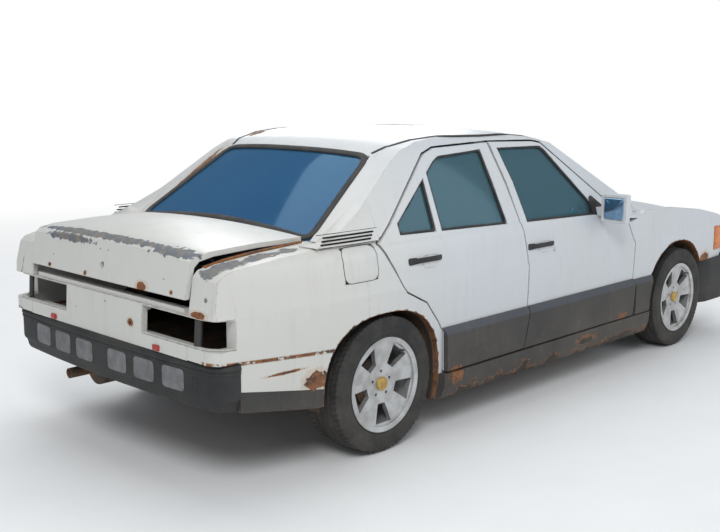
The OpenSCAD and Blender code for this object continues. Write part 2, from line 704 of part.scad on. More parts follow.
floor_pan();
left_side_frame();
right_side_frame();
roof_panel();
rear_panel();
rear_shelf();
bulkhead();
left_wing();
right_wing();
nose_panel();
bonnet();
boot_lid();
front_left_door();
front_right_door();
rear_left_door();
rear_right_door();
front_left_glass();
front_right_glass();
rear_left_glass();
rear_right_glass();
windscreen();
rear_window();
front_bumper();
rear_bumper();
grille();
headlamps();
indicators();
left_mirror();
right_mirror();
fuel_flap();
front_seats();
rear_seat();
dashboard();
steering_wheel();
engine_block();
exhaust();
front_subframe();
rear_axle();
left_knuckle();
right_knuckle();
front_left_tyre();
front_right_tyre();
rear_left_tyre();
rear_right_tyre();
front_left_rim();
front_right_rim();
rear_left_rim();
rear_right_rim();
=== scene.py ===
"""Looks of a weathered, abandoned four-door saloon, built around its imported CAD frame.

Sheet metal, glass and running gear start from welded copies of the CAD solids, which get rounded
edges and worn finishes.  Tyres, seats, seals, mouldings, handles, lamps, bumper and the other
things that a solid model can't carry are built here as meshes of their own.
Units are metres and the axes are the CAD frame's: +X front, +Y the car's left, +Z up.
"""
from __future__ import annotations

import json
import logging
import math
from dataclasses import dataclass, field
from enum import Enum
from typing import Callable, Sequence

import bmesh
import bpy
import numpy as np
from mathutils import Matrix, Vector

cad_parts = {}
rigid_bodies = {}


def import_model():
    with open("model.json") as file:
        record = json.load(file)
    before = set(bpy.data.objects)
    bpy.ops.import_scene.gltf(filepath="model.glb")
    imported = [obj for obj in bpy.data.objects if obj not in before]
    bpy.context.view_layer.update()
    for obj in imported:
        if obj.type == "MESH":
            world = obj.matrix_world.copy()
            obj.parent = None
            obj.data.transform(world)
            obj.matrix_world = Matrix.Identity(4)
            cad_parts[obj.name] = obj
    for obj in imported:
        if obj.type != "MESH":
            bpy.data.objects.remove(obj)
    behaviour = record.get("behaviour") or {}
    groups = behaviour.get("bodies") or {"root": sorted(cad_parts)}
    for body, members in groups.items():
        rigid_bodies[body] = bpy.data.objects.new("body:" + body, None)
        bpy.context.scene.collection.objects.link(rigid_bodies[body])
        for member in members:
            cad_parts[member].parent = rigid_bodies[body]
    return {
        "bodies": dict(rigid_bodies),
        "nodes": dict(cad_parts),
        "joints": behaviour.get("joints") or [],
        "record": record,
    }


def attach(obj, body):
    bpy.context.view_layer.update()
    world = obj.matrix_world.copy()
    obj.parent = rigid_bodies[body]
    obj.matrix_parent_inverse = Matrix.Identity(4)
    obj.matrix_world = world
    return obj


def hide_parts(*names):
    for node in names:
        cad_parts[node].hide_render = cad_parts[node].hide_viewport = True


logging.basicConfig(level=logging.INFO, format="%(levelname)s %(message)s")
LOG = logging.getLogger("car")
Array = np.ndarray
Lift = Callable[[Array, Array], Array]
Socket = bpy.types.NodeSocket
Value = Socket | float | tuple


class Side(Enum):
    """Which side of the car a piece belongs to; the value is the sign of its y."""

    LEFT = 1
    RIGHT = -1

    @property
    def word(self) -> str:
        """Lower-case name used in piece names."""
        return self.name.lower()


class Row(Enum):
    """Front or rear wheels and doors."""

    FRONT = "front"
    REAR = "rear"


# ----------------------------------------------------------------------------- sizes

@dataclass(frozen=True)
class BodySizes:
    """Sizes of the body that the added pieces follow, in metres."""

    half_width: float = 0.838
    side_radius: float = 6.4
    side_straight: float = 1.4
    roof_top: float = 1.39
    roof_radius: float = 6.0
    rear_x: float = -2.21
    rear_bow: float = 7.5
    glass_line: tuple = ((0.057, 0.870), (0.060, 0.900), (0.076, 0.950), (0.220, 1.313), (0.242, 1.342),
                         (0.270, 1.368), (0.330, 1.388))
    skin_line: tuple = ((0.044, 0.160), (0.030, 0.260), (0.026, 0.505), (0.022, 0.620), (0.022, 0.715),
                        (0.030, 0.732), (0.038, 0.820), (0.048, 0.890), (0.062, 0.920), (0.092, 0.945))
    roof_line: tuple = ((-1.566, 0.985), (-1.08, 1.302), (-1.0, 1.342), (-0.86, 1.373), (-0.70, 1.387),
                        (-0.48, 1.39), (-0.24, 1.387), (0.0, 1.368), (0.185, 1.335), (0.945, 0.925))

    def skin_y(self, x: Array, z: Array) -> Array:
        """Half width of the lower body at x and height z."""
        line = np.array(self.skin_line)
        past = np.maximum(np.abs(x) - self.side_straight, 0)
        sag = self.side_radius - np.sqrt(self.side_radius**2 - past**2)
        return self.half_width - np.interp(z, line[:, 1], line[:, 0]) - sag

    def window_y(self, z: Array) -> Array:
        """Half width of the glasshouse at height z."""
        line = np.array(self.glass_line)
        return self.half_width - np.interp(z, line[:, 1], line[:, 0])

    def roof_z(self, x: Array, y: Array) -> Array:
        """Height of the crowned roof, windscreen or rear window at (x, y)."""
        line = np.array(self.roof_line)
        deep = self.roof_radius - self.roof_top + np.interp(x, line[:, 0], line[:, 1])
        return self.roof_top - self.roof_radius + np.sqrt(deep**2 - y**2)

    def bow(self, x: Array) -> Array:
        """How far the side curves in at x, past its straight middle."""
        past = np.maximum(np.abs(x) - self.side_straight, 0)
        return past**2 / (2 * self.side_radius)


@dataclass(frozen=True)
class WheelSizes:
    """Sizes of one wheel, in metres.

    wall, drum and valve are outlines of (distance out, radius), and cap is rings of (scale, height).
    valve_at is how far out the valve is, its radius and its angle.
    """

    hub_z: float = 0.308
    radius: float = 0.308
    front_x: float = 1.385
    rear_x: float = -1.28
    front_track: float = 0.716
    rear_track: float = 0.709
    around: int = 288
    grooves: tuple = (0.016, 0.047)
    groove_half: float = 0.0055
    groove_depth: float = 0.0075
    wall: tuple = ((0.086, 0.3035), (0.0905, 0.298), (0.0935, 0.290), (0.0955, 0.279), (0.0962, 0.2785),
                   (0.0972, 0.270), (0.0972, 0.256), (0.0962, 0.2545), (0.0967, 0.246), (0.0955, 0.234),
                   (0.0935, 0.2235), (0.0900, 0.2195), (0.0935, 0.2145), (0.0880, 0.2080), (0.0855, 0.2015))
    drum: tuple = ((0.012, 0.064), (0.014, 0.062), (0.034, 0.062), (0.037, 0.066), (0.037, 0.098),
                   (0.034, 0.104),
                   (0.030, 0.108), (0.028, 0.118), (0.024, 0.120), (0.014, 0.120), (0.012, 0.117))
    cap: tuple = ((1, -0.002), (1, 0.006), (0.94, 0.0095), (0.80, 0.0105), (0.74, 0.0085), (0.68, 0.0092),
                  (0.3, 0.0105))
    cap_out: float = 0.0672
    cap_width: float = 0.062
    valve: tuple = ((0.0, 0.0), (0.0, 0.004), (0.018, 0.0035), (0.019, 0.0045), (0.027, 0.0045),
                    (0.028, 0.0))
    valve_at: tuple = (0.082, 0.172, 0.94)

    def hub(self, row: Row, side: Side) -> Vector:
        """Hub centre of one wheel."""
        if row is Row.FRONT:
            return Vector((self.front_x, side.value * self.front_track, self.hub_z))
        return Vector((self.rear_x, side.value * self.rear_track, self.hub_z))


@dataclass(frozen=True)
class Arch:
    """A wheel arch: its edge is (|dx|/a)^power + (|dz|/b)^power = 1 about its centre (x, z).

    half is (a, b). The lining is a sheet that lies lining_gap outside the edge and reaches across the car
    from lining[0] to lining[1].
    """

    row: Row
    centre: tuple
    half: tuple
    power: float
    lining_gap: float
    lining: tuple


@dataclass(frozen=True)
class BumperSizes:
    """Rear bumper: section is an outline of (depth from the face, height)."""

    rear_x: float = -2.2085
    front_x: float = -2.071
    face_x: float = -2.202
    straight_half: float = 0.696
    corner: float = 0.09
    bow_depth: float = 0.03
    section: tuple = (
        (0.058, 0.5528), (0.022, 0.5528), (0.010, 0.550), (0.003, 0.543), (0.001, 0.534), (0.003, 0.5285),
        (0.0065, 0.5265), (0.0065, 0.5225), (0.003, 0.520), (0.003, 0.515), (0.0065, 0.513), (0.0065, 0.422),
        (0.009, 0.412), (0.016, 0.404), (0.020, 0.398), (0.026, 0.372), (0.034, 0.360), (0.042, 0.3575),
        (0.058, 0.3575), (0.052, 0.362), (0.040, 0.368), (0.032, 0.400), (0.014, 0.425), (0.012, 0.545),
        (0.05, 0.5485))


BODY = BodySizes()
WHEEL = WheelSizes()
BUMPER = BumperSizes()
ARCHES = (Arch(Row.REAR, (-1.295, 0.305), (0.362, 0.330), 2.5, 0.005, (0.585, 0.780)),
          Arch(Row.FRONT, (1.353, 0.305), (0.366, 0.364), 2.1, 0.006, (0.665, 0.775)))


# ----------------------------------------------------------------------------- finishes

@dataclass(frozen=True)
class Finish:
    """One worn finish.

    Args:
        name: material name.
        slot: slot of the record that it belongs to; not used.
        colour: main colour, linear.
        second: colour it varies towards.
        rough: lowest and highest roughness.
        metal: metalness.
        grain: patches per metre of the colour variation.
        wear: colour of worn edges, or None.
        wear_amount: how far the edges are worn, 0 to 1.
        dust: strength of the dust that lies on it, 0 to 1.
        rust: share of it that has rusted, 0 to 1.
        bump: height of its fine relief in metres.
        weave: threads per metre of woven cloth, or 0.
        glass: share of light that passes.
    """

    name: str
    slot: str
    colour: tuple
    second: tuple
    rough: tuple = (0.45, 0.7)
    metal: float = 0.0
    grain: float = 6.0
    wear: tuple | None = None
    wear_amount: float = 0.5
    dust: float = 0.3
    rust: float = 0.0
    bump: float = 0.0006
    weave: float = 0.0
    glass: float = 0.0


class Palette(Enum):
    """Every finish but the body paint, which has its own builder."""

    CHARCOAL = Finish("charcoal_plastic", "charcoal_plastic", (0.011, 0.0115, 0.013), (0.024, 0.0235, 0.023),
                      (0.55, 0.8), wear=(0.09, 0.09, 0.09), grain=5, dust=0.1)
    DARK = Finish("dark_plastic", "dark_plastic", (0.018, 0.018, 0.019), (0.04, 0.039, 0.037), (0.5, 0.75),
                  wear=(0.11, 0.11, 0.11), grain=8, dust=0.35)
    SEAL = Finish("seal_rubber", "dark_plastic", (0.009, 0.009, 0.01), (0.026, 0.025, 0.024), (0.55, 0.85),
                  wear=(0.06, 0.06, 0.06), grain=14, dust=0.25)
    TYRE = Finish("tyre_rubber", "tyre", (0.014, 0.014, 0.0145), (0.034, 0.032, 0.03), (0.72, 0.92),
                  wear=(0.06, 0.058, 0.055), grain=10, dust=0.16, bump=0.0009)
    ALLOY = Finish("cast_alloy", "alloy", (0.56, 0.57, 0.58), (0.4, 0.4, 0.4), (0.32, 0.55), metal=0.75,
                   wear=(0.7, 0.7, 0.7), grain=16, dust=0.4, bump=0.0003)
    CAP = Finish("yellowed_cap", "alloy", (0.56, 0.38, 0.09), (0.34, 0.2, 0.05), (0.35, 0.6), metal=0.35,
                 wear=(0.6, 0.5, 0.3), grain=40, dust=0.3, bump=0.0003)
    STEEL = Finish("rusty_steel", "rusty_steel", (0.045, 0.034, 0.028), (0.12, 0.07, 0.04), (0.7, 0.92),
                   metal=0.1, wear=(0.22, 0.16, 0.12), grain=9, dust=0.4, rust=0.6, bump=0.0012)
    IRON = Finish("cast_iron", "cast_iron", (0.06, 0.058, 0.055), (0.12, 0.1, 0.085), (0.6, 0.85), metal=0.4,
                  wear=(0.26, 0.24, 0.22), grain=14, dust=0.4, rust=0.35, bump=0.0014)
    CLOTH = Finish("seat_cloth", "seat_cloth", (0.085, 0.094, 0.11), (0.14, 0.145, 0.155), (0.85, 0.98),
                   grain=5, dust=0.35, bump=0.0006, weave=620)
    PIPING = Finish("seat_piping", "seat_cloth", (0.045, 0.048, 0.055), (0.07, 0.07, 0.07), (0.8, 0.95),
                    grain=20, dust=0.2, bump=0.0004, weave=900)
    GLASS = Finish("tinted_glass", "tinted_glass", (0.55, 0.80, 0.86), (0.17, 0.31, 0.36), (0.03, 0.12),
                   grain=3,
                   dust=0.12, bump=0.00005, glass=1.0)
    REAR_GLASS = Finish("rear_tinted_glass", "tinted_glass", (0.34, 0.68, 0.92), (0.06, 0.22, 0.42),
                        (0.04, 0.15), grain=3, dust=0.14, bump=0.00005, glass=1.0)
    LENS = Finish("clear_lens", "clear_lens", (0.62, 0.66, 0.68), (0.45, 0.48, 0.48), (0.12, 0.35), grain=12,
                  dust=0.25, bump=0.0003, glass=0.35)
    ORANGE = Finish("orange_lens", "orange_lens", (0.72, 0.2, 0.02), (0.5, 0.12, 0.015), (0.15, 0.4),
                    grain=14,
                    dust=0.2, bump=0.0003, glass=0.2)
    RED = Finish("red_reflector", "orange_lens", (0.5, 0.02, 0.012), (0.3, 0.012, 0.01), (0.15, 0.4),
                 grain=60,
                 dust=0.2, bump=0.0004, glass=0.1)
    PANEL = Finish("pale_panel", "charcoal_plastic", (0.17, 0.175, 0.185), (0.11, 0.11, 0.115), (0.5, 0.75),
                   wear=(0.15, 0.15, 0.15), wear_amount=0.8, grain=18, dust=0.4, bump=0.0004)
    MIRROR = Finish("mirror_glass", "tinted_glass", (0.25, 0.42, 0.62), (0.18, 0.3, 0.45), (0.05, 0.2),
                    metal=0.9, grain=20, dust=0.15, bump=0.0001)
    # painted shade: a near-black finish laid over slots and louvres, standing in for the shade inside their
    # openings
    HOLE = Finish("dark_hole", "dark_plastic", (0.004, 0.004, 0.004), (0.012, 0.01, 0.008), (0.9, 1.0),
                  grain=40, dust=0.0, bump=0.0004)
    CHANNEL = Finish("rusted_channel", "rusty_steel", (0.05, 0.026, 0.014), (0.16, 0.07, 0.025),
                     (0.75, 0.95),
                     grain=30, dust=0.2, rust=0.8, bump=0.0015)


class Net:
    """Short names for building shader nodes in one tree."""

    def __init__(self, tree: bpy.types.NodeTree) -> None:
        self.tree = tree

    def node(self, kind: str, **settings: object) -> bpy.types.Node:
        """Adds a node and sets its properties."""
        made = self.tree.nodes.new("ShaderNode" + kind)
        for key, value in settings.items():
            setattr(made, key, value)
        return made

    def put(self, value: Value, socket: Socket) -> None:
        """Links value to socket, or sets it if value is a constant."""
        if isinstance(value, bpy.types.NodeSocket):
            self.tree.links.new(value, socket)
        elif isinstance(value, (tuple, list)):
            size = len(socket.default_value)
            socket.default_value = (tuple(value) + (1.0,))[:size]
        else:
            socket.default_value = value

    def math(self, op: str, a: Value, b: Value = 0.0, clamp: bool = False) -> Socket:
        """a op b."""
        made = self.node("Math", operation=op, use_clamp=clamp)
        self.put(a, made.inputs[0])
        self.put(b, made.inputs[1])
        return made.outputs[0]

    def chain(self, op: str, values: Sequence[Value], clamp: bool = False) -> Socket:
        """One operation on several values, from left to right; clamp holds the result from 0 to 1."""
        result = values[0]
        for left, value in zip(range(len(values) - 2, -1, -1), values[1:]):
            result = self.math(op, result, value, clamp and not left)
        return result

    def times(self, *values: Value, clamp: bool = False) -> Socket:
        """Product of the values."""
        return self.chain("MULTIPLY", values, clamp)

    def plus(self, *values: Value, clamp: bool = False) -> Socket:
        """Sum of the values."""
        return self.chain("ADD", values, clamp)

    def minus(self, a: Value, b: Value) -> Socket:
        """a less b."""
        return self.math("SUBTRACT", a, b)

    def most(self, values: Sequence[Value]) -> Socket:
        """The largest of several masks."""
        return self.chain("MAXIMUM", values)

    def vector(self, op: str, a: Value, b: Value = (0.0, 0.0, 0.0)) -> Socket:
        """Vector a op b; a length or dot product comes back as a value."""
        made = self.node("VectorMath", operation=op)
        self.put(a, made.inputs[0])
        if op != "LENGTH":
            self.put(b, made.inputs[1])
        return made.outputs[1 if op in ("LENGTH", "DOT_PRODUCT", "DISTANCE") else 0]

    def ramp(self, value: Value, low: float, high: float) -> Socket:
        """0 below low rising smoothly to 1 above high; low may be the larger of the two."""
        made = self.node("MapRange", interpolation_type="SMOOTHSTEP")
        self.put(value, made.inputs["Value"])
        up = low < high
        self.put(low if up else high, made.inputs["From Min"])
        self.put(high if up else low, made.inputs["From Max"])
        self.put(0.0 if up else 1.0, made.inputs["To Min"])
        self.put(1.0 if up else 0.0, made.inputs["To Max"])
        return made.outputs["Result"]

    def above(self, value: Value, line: float, soft: float = 0.0005) -> Socket:
        """1 above a line and 0 below it, with a soft edge that reaches soft to each side."""
        return self.ramp(value, line - soft, line + soft)

    def below(self, value: Value, line: float, soft: float = 0.0005) -> Socket:
        """1 below a line and 0 above it, with a soft edge that reaches soft to each side."""
        return self.ramp(value, line + soft, line - soft)

    def noise(self, where: Socket, scale: Value, detail: float = 4.0, rough: float = 0.55,
              stretch: tuple | None = None) -> Socket:
        """Fractal noise from 0 to 1 at a place, with waves per metre of scale."""
        if stretch is not None:
            where = self.vector("MULTIPLY", where, stretch)
        made = self.node("TexNoise")
        self.put(where, made.inputs["Vector"])
        self.put(scale, made.inputs["Scale"])
        self.put(detail, made.inputs["Detail"])
        self.put(rough, made.inputs["Roughness"])
        return made.outputs["Fac"]

    def mix(self, share: Value, a: Value, b: Value) -> Socket:
        """Colour a turning to colour b as share goes from 0 to 1."""
        made = self.node("Mix", data_type="RGBA")
        self.put(share, made.inputs[0])
        self.put(a, made.inputs[6])
        self.put(b, made.inputs[7])
        return made.outputs[2]

    def blend(self, share: Value, a: Socket, b: Socket) -> Socket:
        """Shader a turning to shader b as share goes from 0 to 1."""
        made = self.node("MixShader")
        self.put(share, made.inputs[0])
        self.put(a, made.inputs[1])
        self.put(b, made.inputs[2])
        return made.outputs[0]

    def bump(self, height: Socket, strength: float, distance: float) -> Socket:
        """Normal of a relief with the given height in metres."""
        made = self.node("Bump")
        self.put(strength, made.inputs["Strength"])
        self.put(distance, made.inputs["Distance"])
        self.put(height, made.inputs["Height"])
        return made.outputs[0]

    def group(self, tree: bpy.types.NodeTree, **inputs: Value) -> bpy.types.Node:
        """Adds a shared group; an input's underscores stand for spaces."""
        made = self.node("Group", node_tree=tree)
        for key, value in inputs.items():
            self.put(value, made.inputs[key.replace("_", " ")])
        return made


class Groups:
    """The node groups that several finishes share."""

    def __init__(self) -> None:
        self.wear = self._wear()
        self.dust = self._dust()
        self.rust = self._rust()
        self.patch = self._patch()
        self.arch = self._arch()

    @staticmethod
    def _new(name: str, takes: dict, gives: dict) -> tuple[Net, dict, bpy.types.Node]:
        """Makes an empty group; takes and gives map socket names to kinds."""
        tree = bpy.data.node_groups.new(name, "ShaderNodeTree")
        for key, kind in takes.items():
            tree.interface.new_socket(name=key, in_out="INPUT", socket_type="NodeSocket" + kind)
        for key, kind in gives.items():
            tree.interface.new_socket(name=key, in_out="OUTPUT", socket_type="NodeSocket" + kind)
        net = Net(tree)
        entry = tree.nodes.new("NodeGroupInput")
        leave = tree.nodes.new("NodeGroupOutput")
        return net, {s.name: s for s in entry.outputs if s.name}, leave

    def _wear(self) -> bpy.types.NodeTree:
        """Edges rubbed bare: how far a rounded normal is from the real one, broken up by noise."""
        net, take, leave = self._new("edge_wear", {"Place": "Vector", "Amount": "Float"}, {"Mask": "Float"})
        bevel = net.node("Bevel", samples=3)
        net.put(0.004, bevel.inputs["Radius"])
        real = net.node("NewGeometry")
        turn = net.vector("DOT_PRODUCT", bevel.outputs[0], real.outputs["Normal"])
        edge = net.ramp(turn, 0.995, 0.86)
        rub = net.ramp(net.noise(take["Place"], 38.0, 5.0, 0.7), 0.42, 0.62)
        worn = net.times(net.times(edge, rub), take["Amount"], clamp=True)
        net.put(worn, leave.inputs["Mask"])
        return net.tree

    def _dust(self) -> bpy.types.NodeTree:
        """Dust lying on faces that look up, splashed low down and run into streaks."""
        net, take, leave = self._new("dust", {"Place": "Vector", "Colour": "Color", "Amount": "Float"},
                                     {"Colour": "Color", "Mask": "Float"})
        real = net.node("NewGeometry")
        face = net.node("SeparateXYZ")
        net.put(real.outputs["Normal"], face.inputs[0])
        spot = net.node("SeparateXYZ")
        net.put(take["Place"], spot.inputs[0])
        up = net.ramp(face.outputs[2], 0.2, 1.0)
        low = net.ramp(spot.outputs[2], 0.62, 0.08)
        streak = net.ramp(net.noise(take["Place"], 9.0, 5.0, 0.6, (2.2, 2.2, 0.35)), 0.45, 0.75)
        cloud = net.ramp(net.noise(take["Place"], 2.6, 5.0, 0.62), 0.34, 0.72)
        grain = net.noise(take["Place"], 60.0, 3.0, 0.7)
        laid = net.plus(net.times(up, 0.45), net.times(low, 0.9))
        laid = net.plus(laid, net.times(streak, 0.3))
        laid = net.times(laid, net.plus(net.times(cloud, 0.75), 0.25))
        laid = net.times(laid, net.plus(grain, 0.45))
        mask = net.times(laid, take["Amount"], clamp=True)
        soil = net.mix(grain, (0.2, 0.165, 0.125), (0.31, 0.27, 0.22))
        net.put(net.mix(mask, take["Colour"], soil), leave.inputs["Colour"])
        net.put(mask, leave.inputs["Mask"])
        return net.tree

    def _rust(self) -> bpy.types.NodeTree:
        """Colour and relief of rust: orange powder over brown scale with near-black pits."""
        net, take, leave = self._new("rust", {"Place": "Vector", "Scale": "Float"},
                                     {"Colour": "Color", "Height": "Float"})
        blotch = net.noise(take["Place"], take["Scale"], 6.0, 0.68)
        speck = net.noise(take["Place"], net.times(take["Scale"], 6.0), 4.0, 0.7)
        tone = net.mix(net.ramp(blotch, 0.34, 0.62), (0.04, 0.016, 0.008), (0.22, 0.078, 0.022))
        tone = net.mix(net.ramp(speck, 0.55, 0.75), tone, (0.40, 0.17, 0.045))
        tone = net.mix(net.ramp(speck, 0.4, 0.28), tone, (0.018, 0.008, 0.005))
        net.put(tone, leave.inputs["Colour"])
        net.put(net.plus(blotch, net.times(speck, 0.5)), leave.inputs["Height"])
        return net.tree

    def _patch(self) -> bpy.types.NodeTree:
        """A ragged egg-shaped patch: 1 inside, 0 outside; Rag moves its edge in and out."""
        takes = {"Place": "Vector", "Centre": "Vector", "Reach": "Vector", "Rag": "Float"}
        net, take, leave = self._new("ragged_patch", takes, {"Mask": "Float"})
        away = net.vector("DIVIDE", net.vector("SUBTRACT", take["Place"], take["Centre"]), take["Reach"])
        edge = net.plus(net.vector("LENGTH", away), take["Rag"])
        net.put(net.ramp(edge, 1.0, 0.9), leave.inputs["Mask"])
        return net.tree

    def _arch(self) -> bpy.types.NodeTree:
        """A band outside a wheel arch: (|dx|^n + |dz|^n)^(1/n) in half lengths is 1 on the arch."""
        takes = {"Place": "Vector", "Centre": "Vector", "Reach": "Vector", "Power": "Float",
                 "Width": "Float"}
        net, take, leave = self._new("arch_band", takes, {"Mask": "Float"})
        away = net.vector("DIVIDE", net.vector("SUBTRACT", take["Place"], take["Centre"]), take["Reach"])
        part = net.node("SeparateXYZ")
        net.put(net.vector("ABSOLUTE", away), part.inputs[0])
        powers = [net.math("POWER", part.outputs[i], take["Power"]) for i in (0, 2)]
        root = net.math("POWER", net.plus(*powers), net.math("DIVIDE", 1.0, take["Power"]))
        gap = net.math("DIVIDE", net.minus(root, 1.0), take["Width"])
        net.put(net.ramp(gap, 1.0, 0.7), leave.inputs["Mask"])
        return net.tree


@dataclass(frozen=True)
class Blemish:
    """One spot of damage in the paint: an egg-shaped patch with a ragged edge."""

    centre: tuple
    reach: tuple
    rag: float = 0.5


@dataclass(frozen=True)
class PaintDamage:
    """Where the white paint is peeled, rusted or pierced; the first few rusted spots are stained round."""

    stained: int = 12
    peeled: tuple = (
        Blemish((-2.125, 0.05, 0.962), (0.03, 0.62, 0.016), 0.75),
        Blemish((-2.150, 0.28, 0.935), (0.02, 0.2, 0.02), 0.9),
        Blemish((-2.12, -0.45, 0.95), (0.045, 0.16, 0.02), 0.8),
        Blemish((-2.13, -0.665, 0.905), (0.06, 0.05, 0.035), 0.6),
        Blemish((-2.03, -0.665, 0.908), (0.09, 0.05, 0.035), 0.75),
        Blemish((-1.88, -0.665, 0.925), (0.10, 0.04, 0.035), 0.8),
        Blemish((-1.73, -0.67, 0.937), (0.05, 0.035, 0.03), 0.8),
        Blemish((-2.172, -0.69, 0.80), (0.03, 0.012, 0.010), 0.8),
        Blemish((-1.3, 0.70, 0.93), (0.12, 0.06, 0.02), 0.8),
        Blemish((1.1, 0.3, 0.925), (0.10, 0.16, 0.03), 0.9),
        Blemish((-0.3, 0.1, 1.39), (0.16, 0.22, 0.05), 0.9),
        Blemish((1.75, -0.35, 0.84), (0.12, 0.14, 0.04), 0.9))
    rusted: tuple = (
        Blemish((-2.196, -0.30, 0.803), (0.03, 0.036, 0.02), 0.4),
        Blemish((-2.196, -0.50, 0.806), (0.03, 0.012, 0.010), 0.3),
        Blemish((-2.198, 0.12, 0.803), (0.03, 0.012, 0.011), 0.3),
        Blemish((-2.198, 0.42, 0.803), (0.03, 0.015, 0.010), 0.3),
        Blemish((-2.18, -0.21, 0.64), (0.03, 0.02, 0.018), 0.4),
        Blemish((-2.16, -0.655, 0.738), (0.05, 0.05, 0.014), 0.5),
        Blemish((-1.70, -0.80, 0.415), (0.06, 0.2, 0.04), 0.8),
        Blemish((-1.86, -0.80, 0.478), (0.09, 0.2, 0.006), 0.8),
        Blemish((1.73, -0.80, 0.50), (0.07, 0.2, 0.05), 0.7),
        Blemish((1.74, 0.80, 0.47), (0.06, 0.2, 0.04), 0.8),
        Blemish((-1.33, 0.56, 1.13), (0.3, 0.03, 0.2), 0.5),
        Blemish((0.30, -0.82, 0.235), (0.10, 0.2, 0.03), 0.95),
        Blemish((-0.83, -0.82, 0.27), (0.05, 0.2, 0.05), 0.9),
        Blemish((0.66, -0.8, 0.31), (0.06, 0.2, 0.02), 0.9),
        Blemish((1.98, 0.60, 0.80), (0.07, 0.08, 0.03), 0.9),
        Blemish((-0.9, 0.5, 1.36), (0.08, 0.05, 0.04), 0.9),
        Blemish((0.55, 0.62, 1.12), (0.10, 0.04, 0.07), 0.9))
    pierced: tuple = (
        Blemish((0.30, -0.82, 0.230), (0.07, 0.2, 0.018), 0.95),
        Blemish((-2.18, -0.21, 0.64), (0.03, 0.007, 0.007), 0.1),
        Blemish((-2.18, -0.02, 0.70), (0.03, 0.004, 0.004), 0.1),
        Blemish((-2.19, 0.03, 0.915), (0.06, 0.004, 0.004), 0.1),
        Blemish((-2.19, -0.03, 0.915), (0.06, 0.004, 0.004), 0.1),
        Blemish((-2.19, -0.44, 0.85), (0.06, 0.004, 0.003), 0.1),
        Blemish((-2.19, 0.40, 0.85), (0.06, 0.004, 0.003), 0.1))


@dataclass(frozen=True)
class PaintLines:
    """Lines at which the side's finish and its painted sheen strip change, in metres; a side is a distance
    from the car's middle.
    """

    cladding_side: float = 0.813
    cladding_top: float = 0.504
    bevel_foot: float = 0.4685
    bevel_side: float = 0.815
    sill_top: float = 0.288
    sill_ends: tuple = (-0.985, 1.015)
    rot_side: float = 0.75
    rot_ends: tuple = (-0.92, 0.99)
    arch_lip: float = 0.781
    seam_side: float = 0.69
    seam_front: float = -1.565
    seam_slope: tuple = (-2.07, 0.553, -0.063)
    strip_front: float = -1.605
    strip_slope: tuple = (-1.676, 0.372, -0.168)
    trim_sides: tuple = (0.705, 0.7725)
    trim_heights: tuple = (0.295, 0.8925)
    trim_ends: tuple = (-1.275, 0.81)


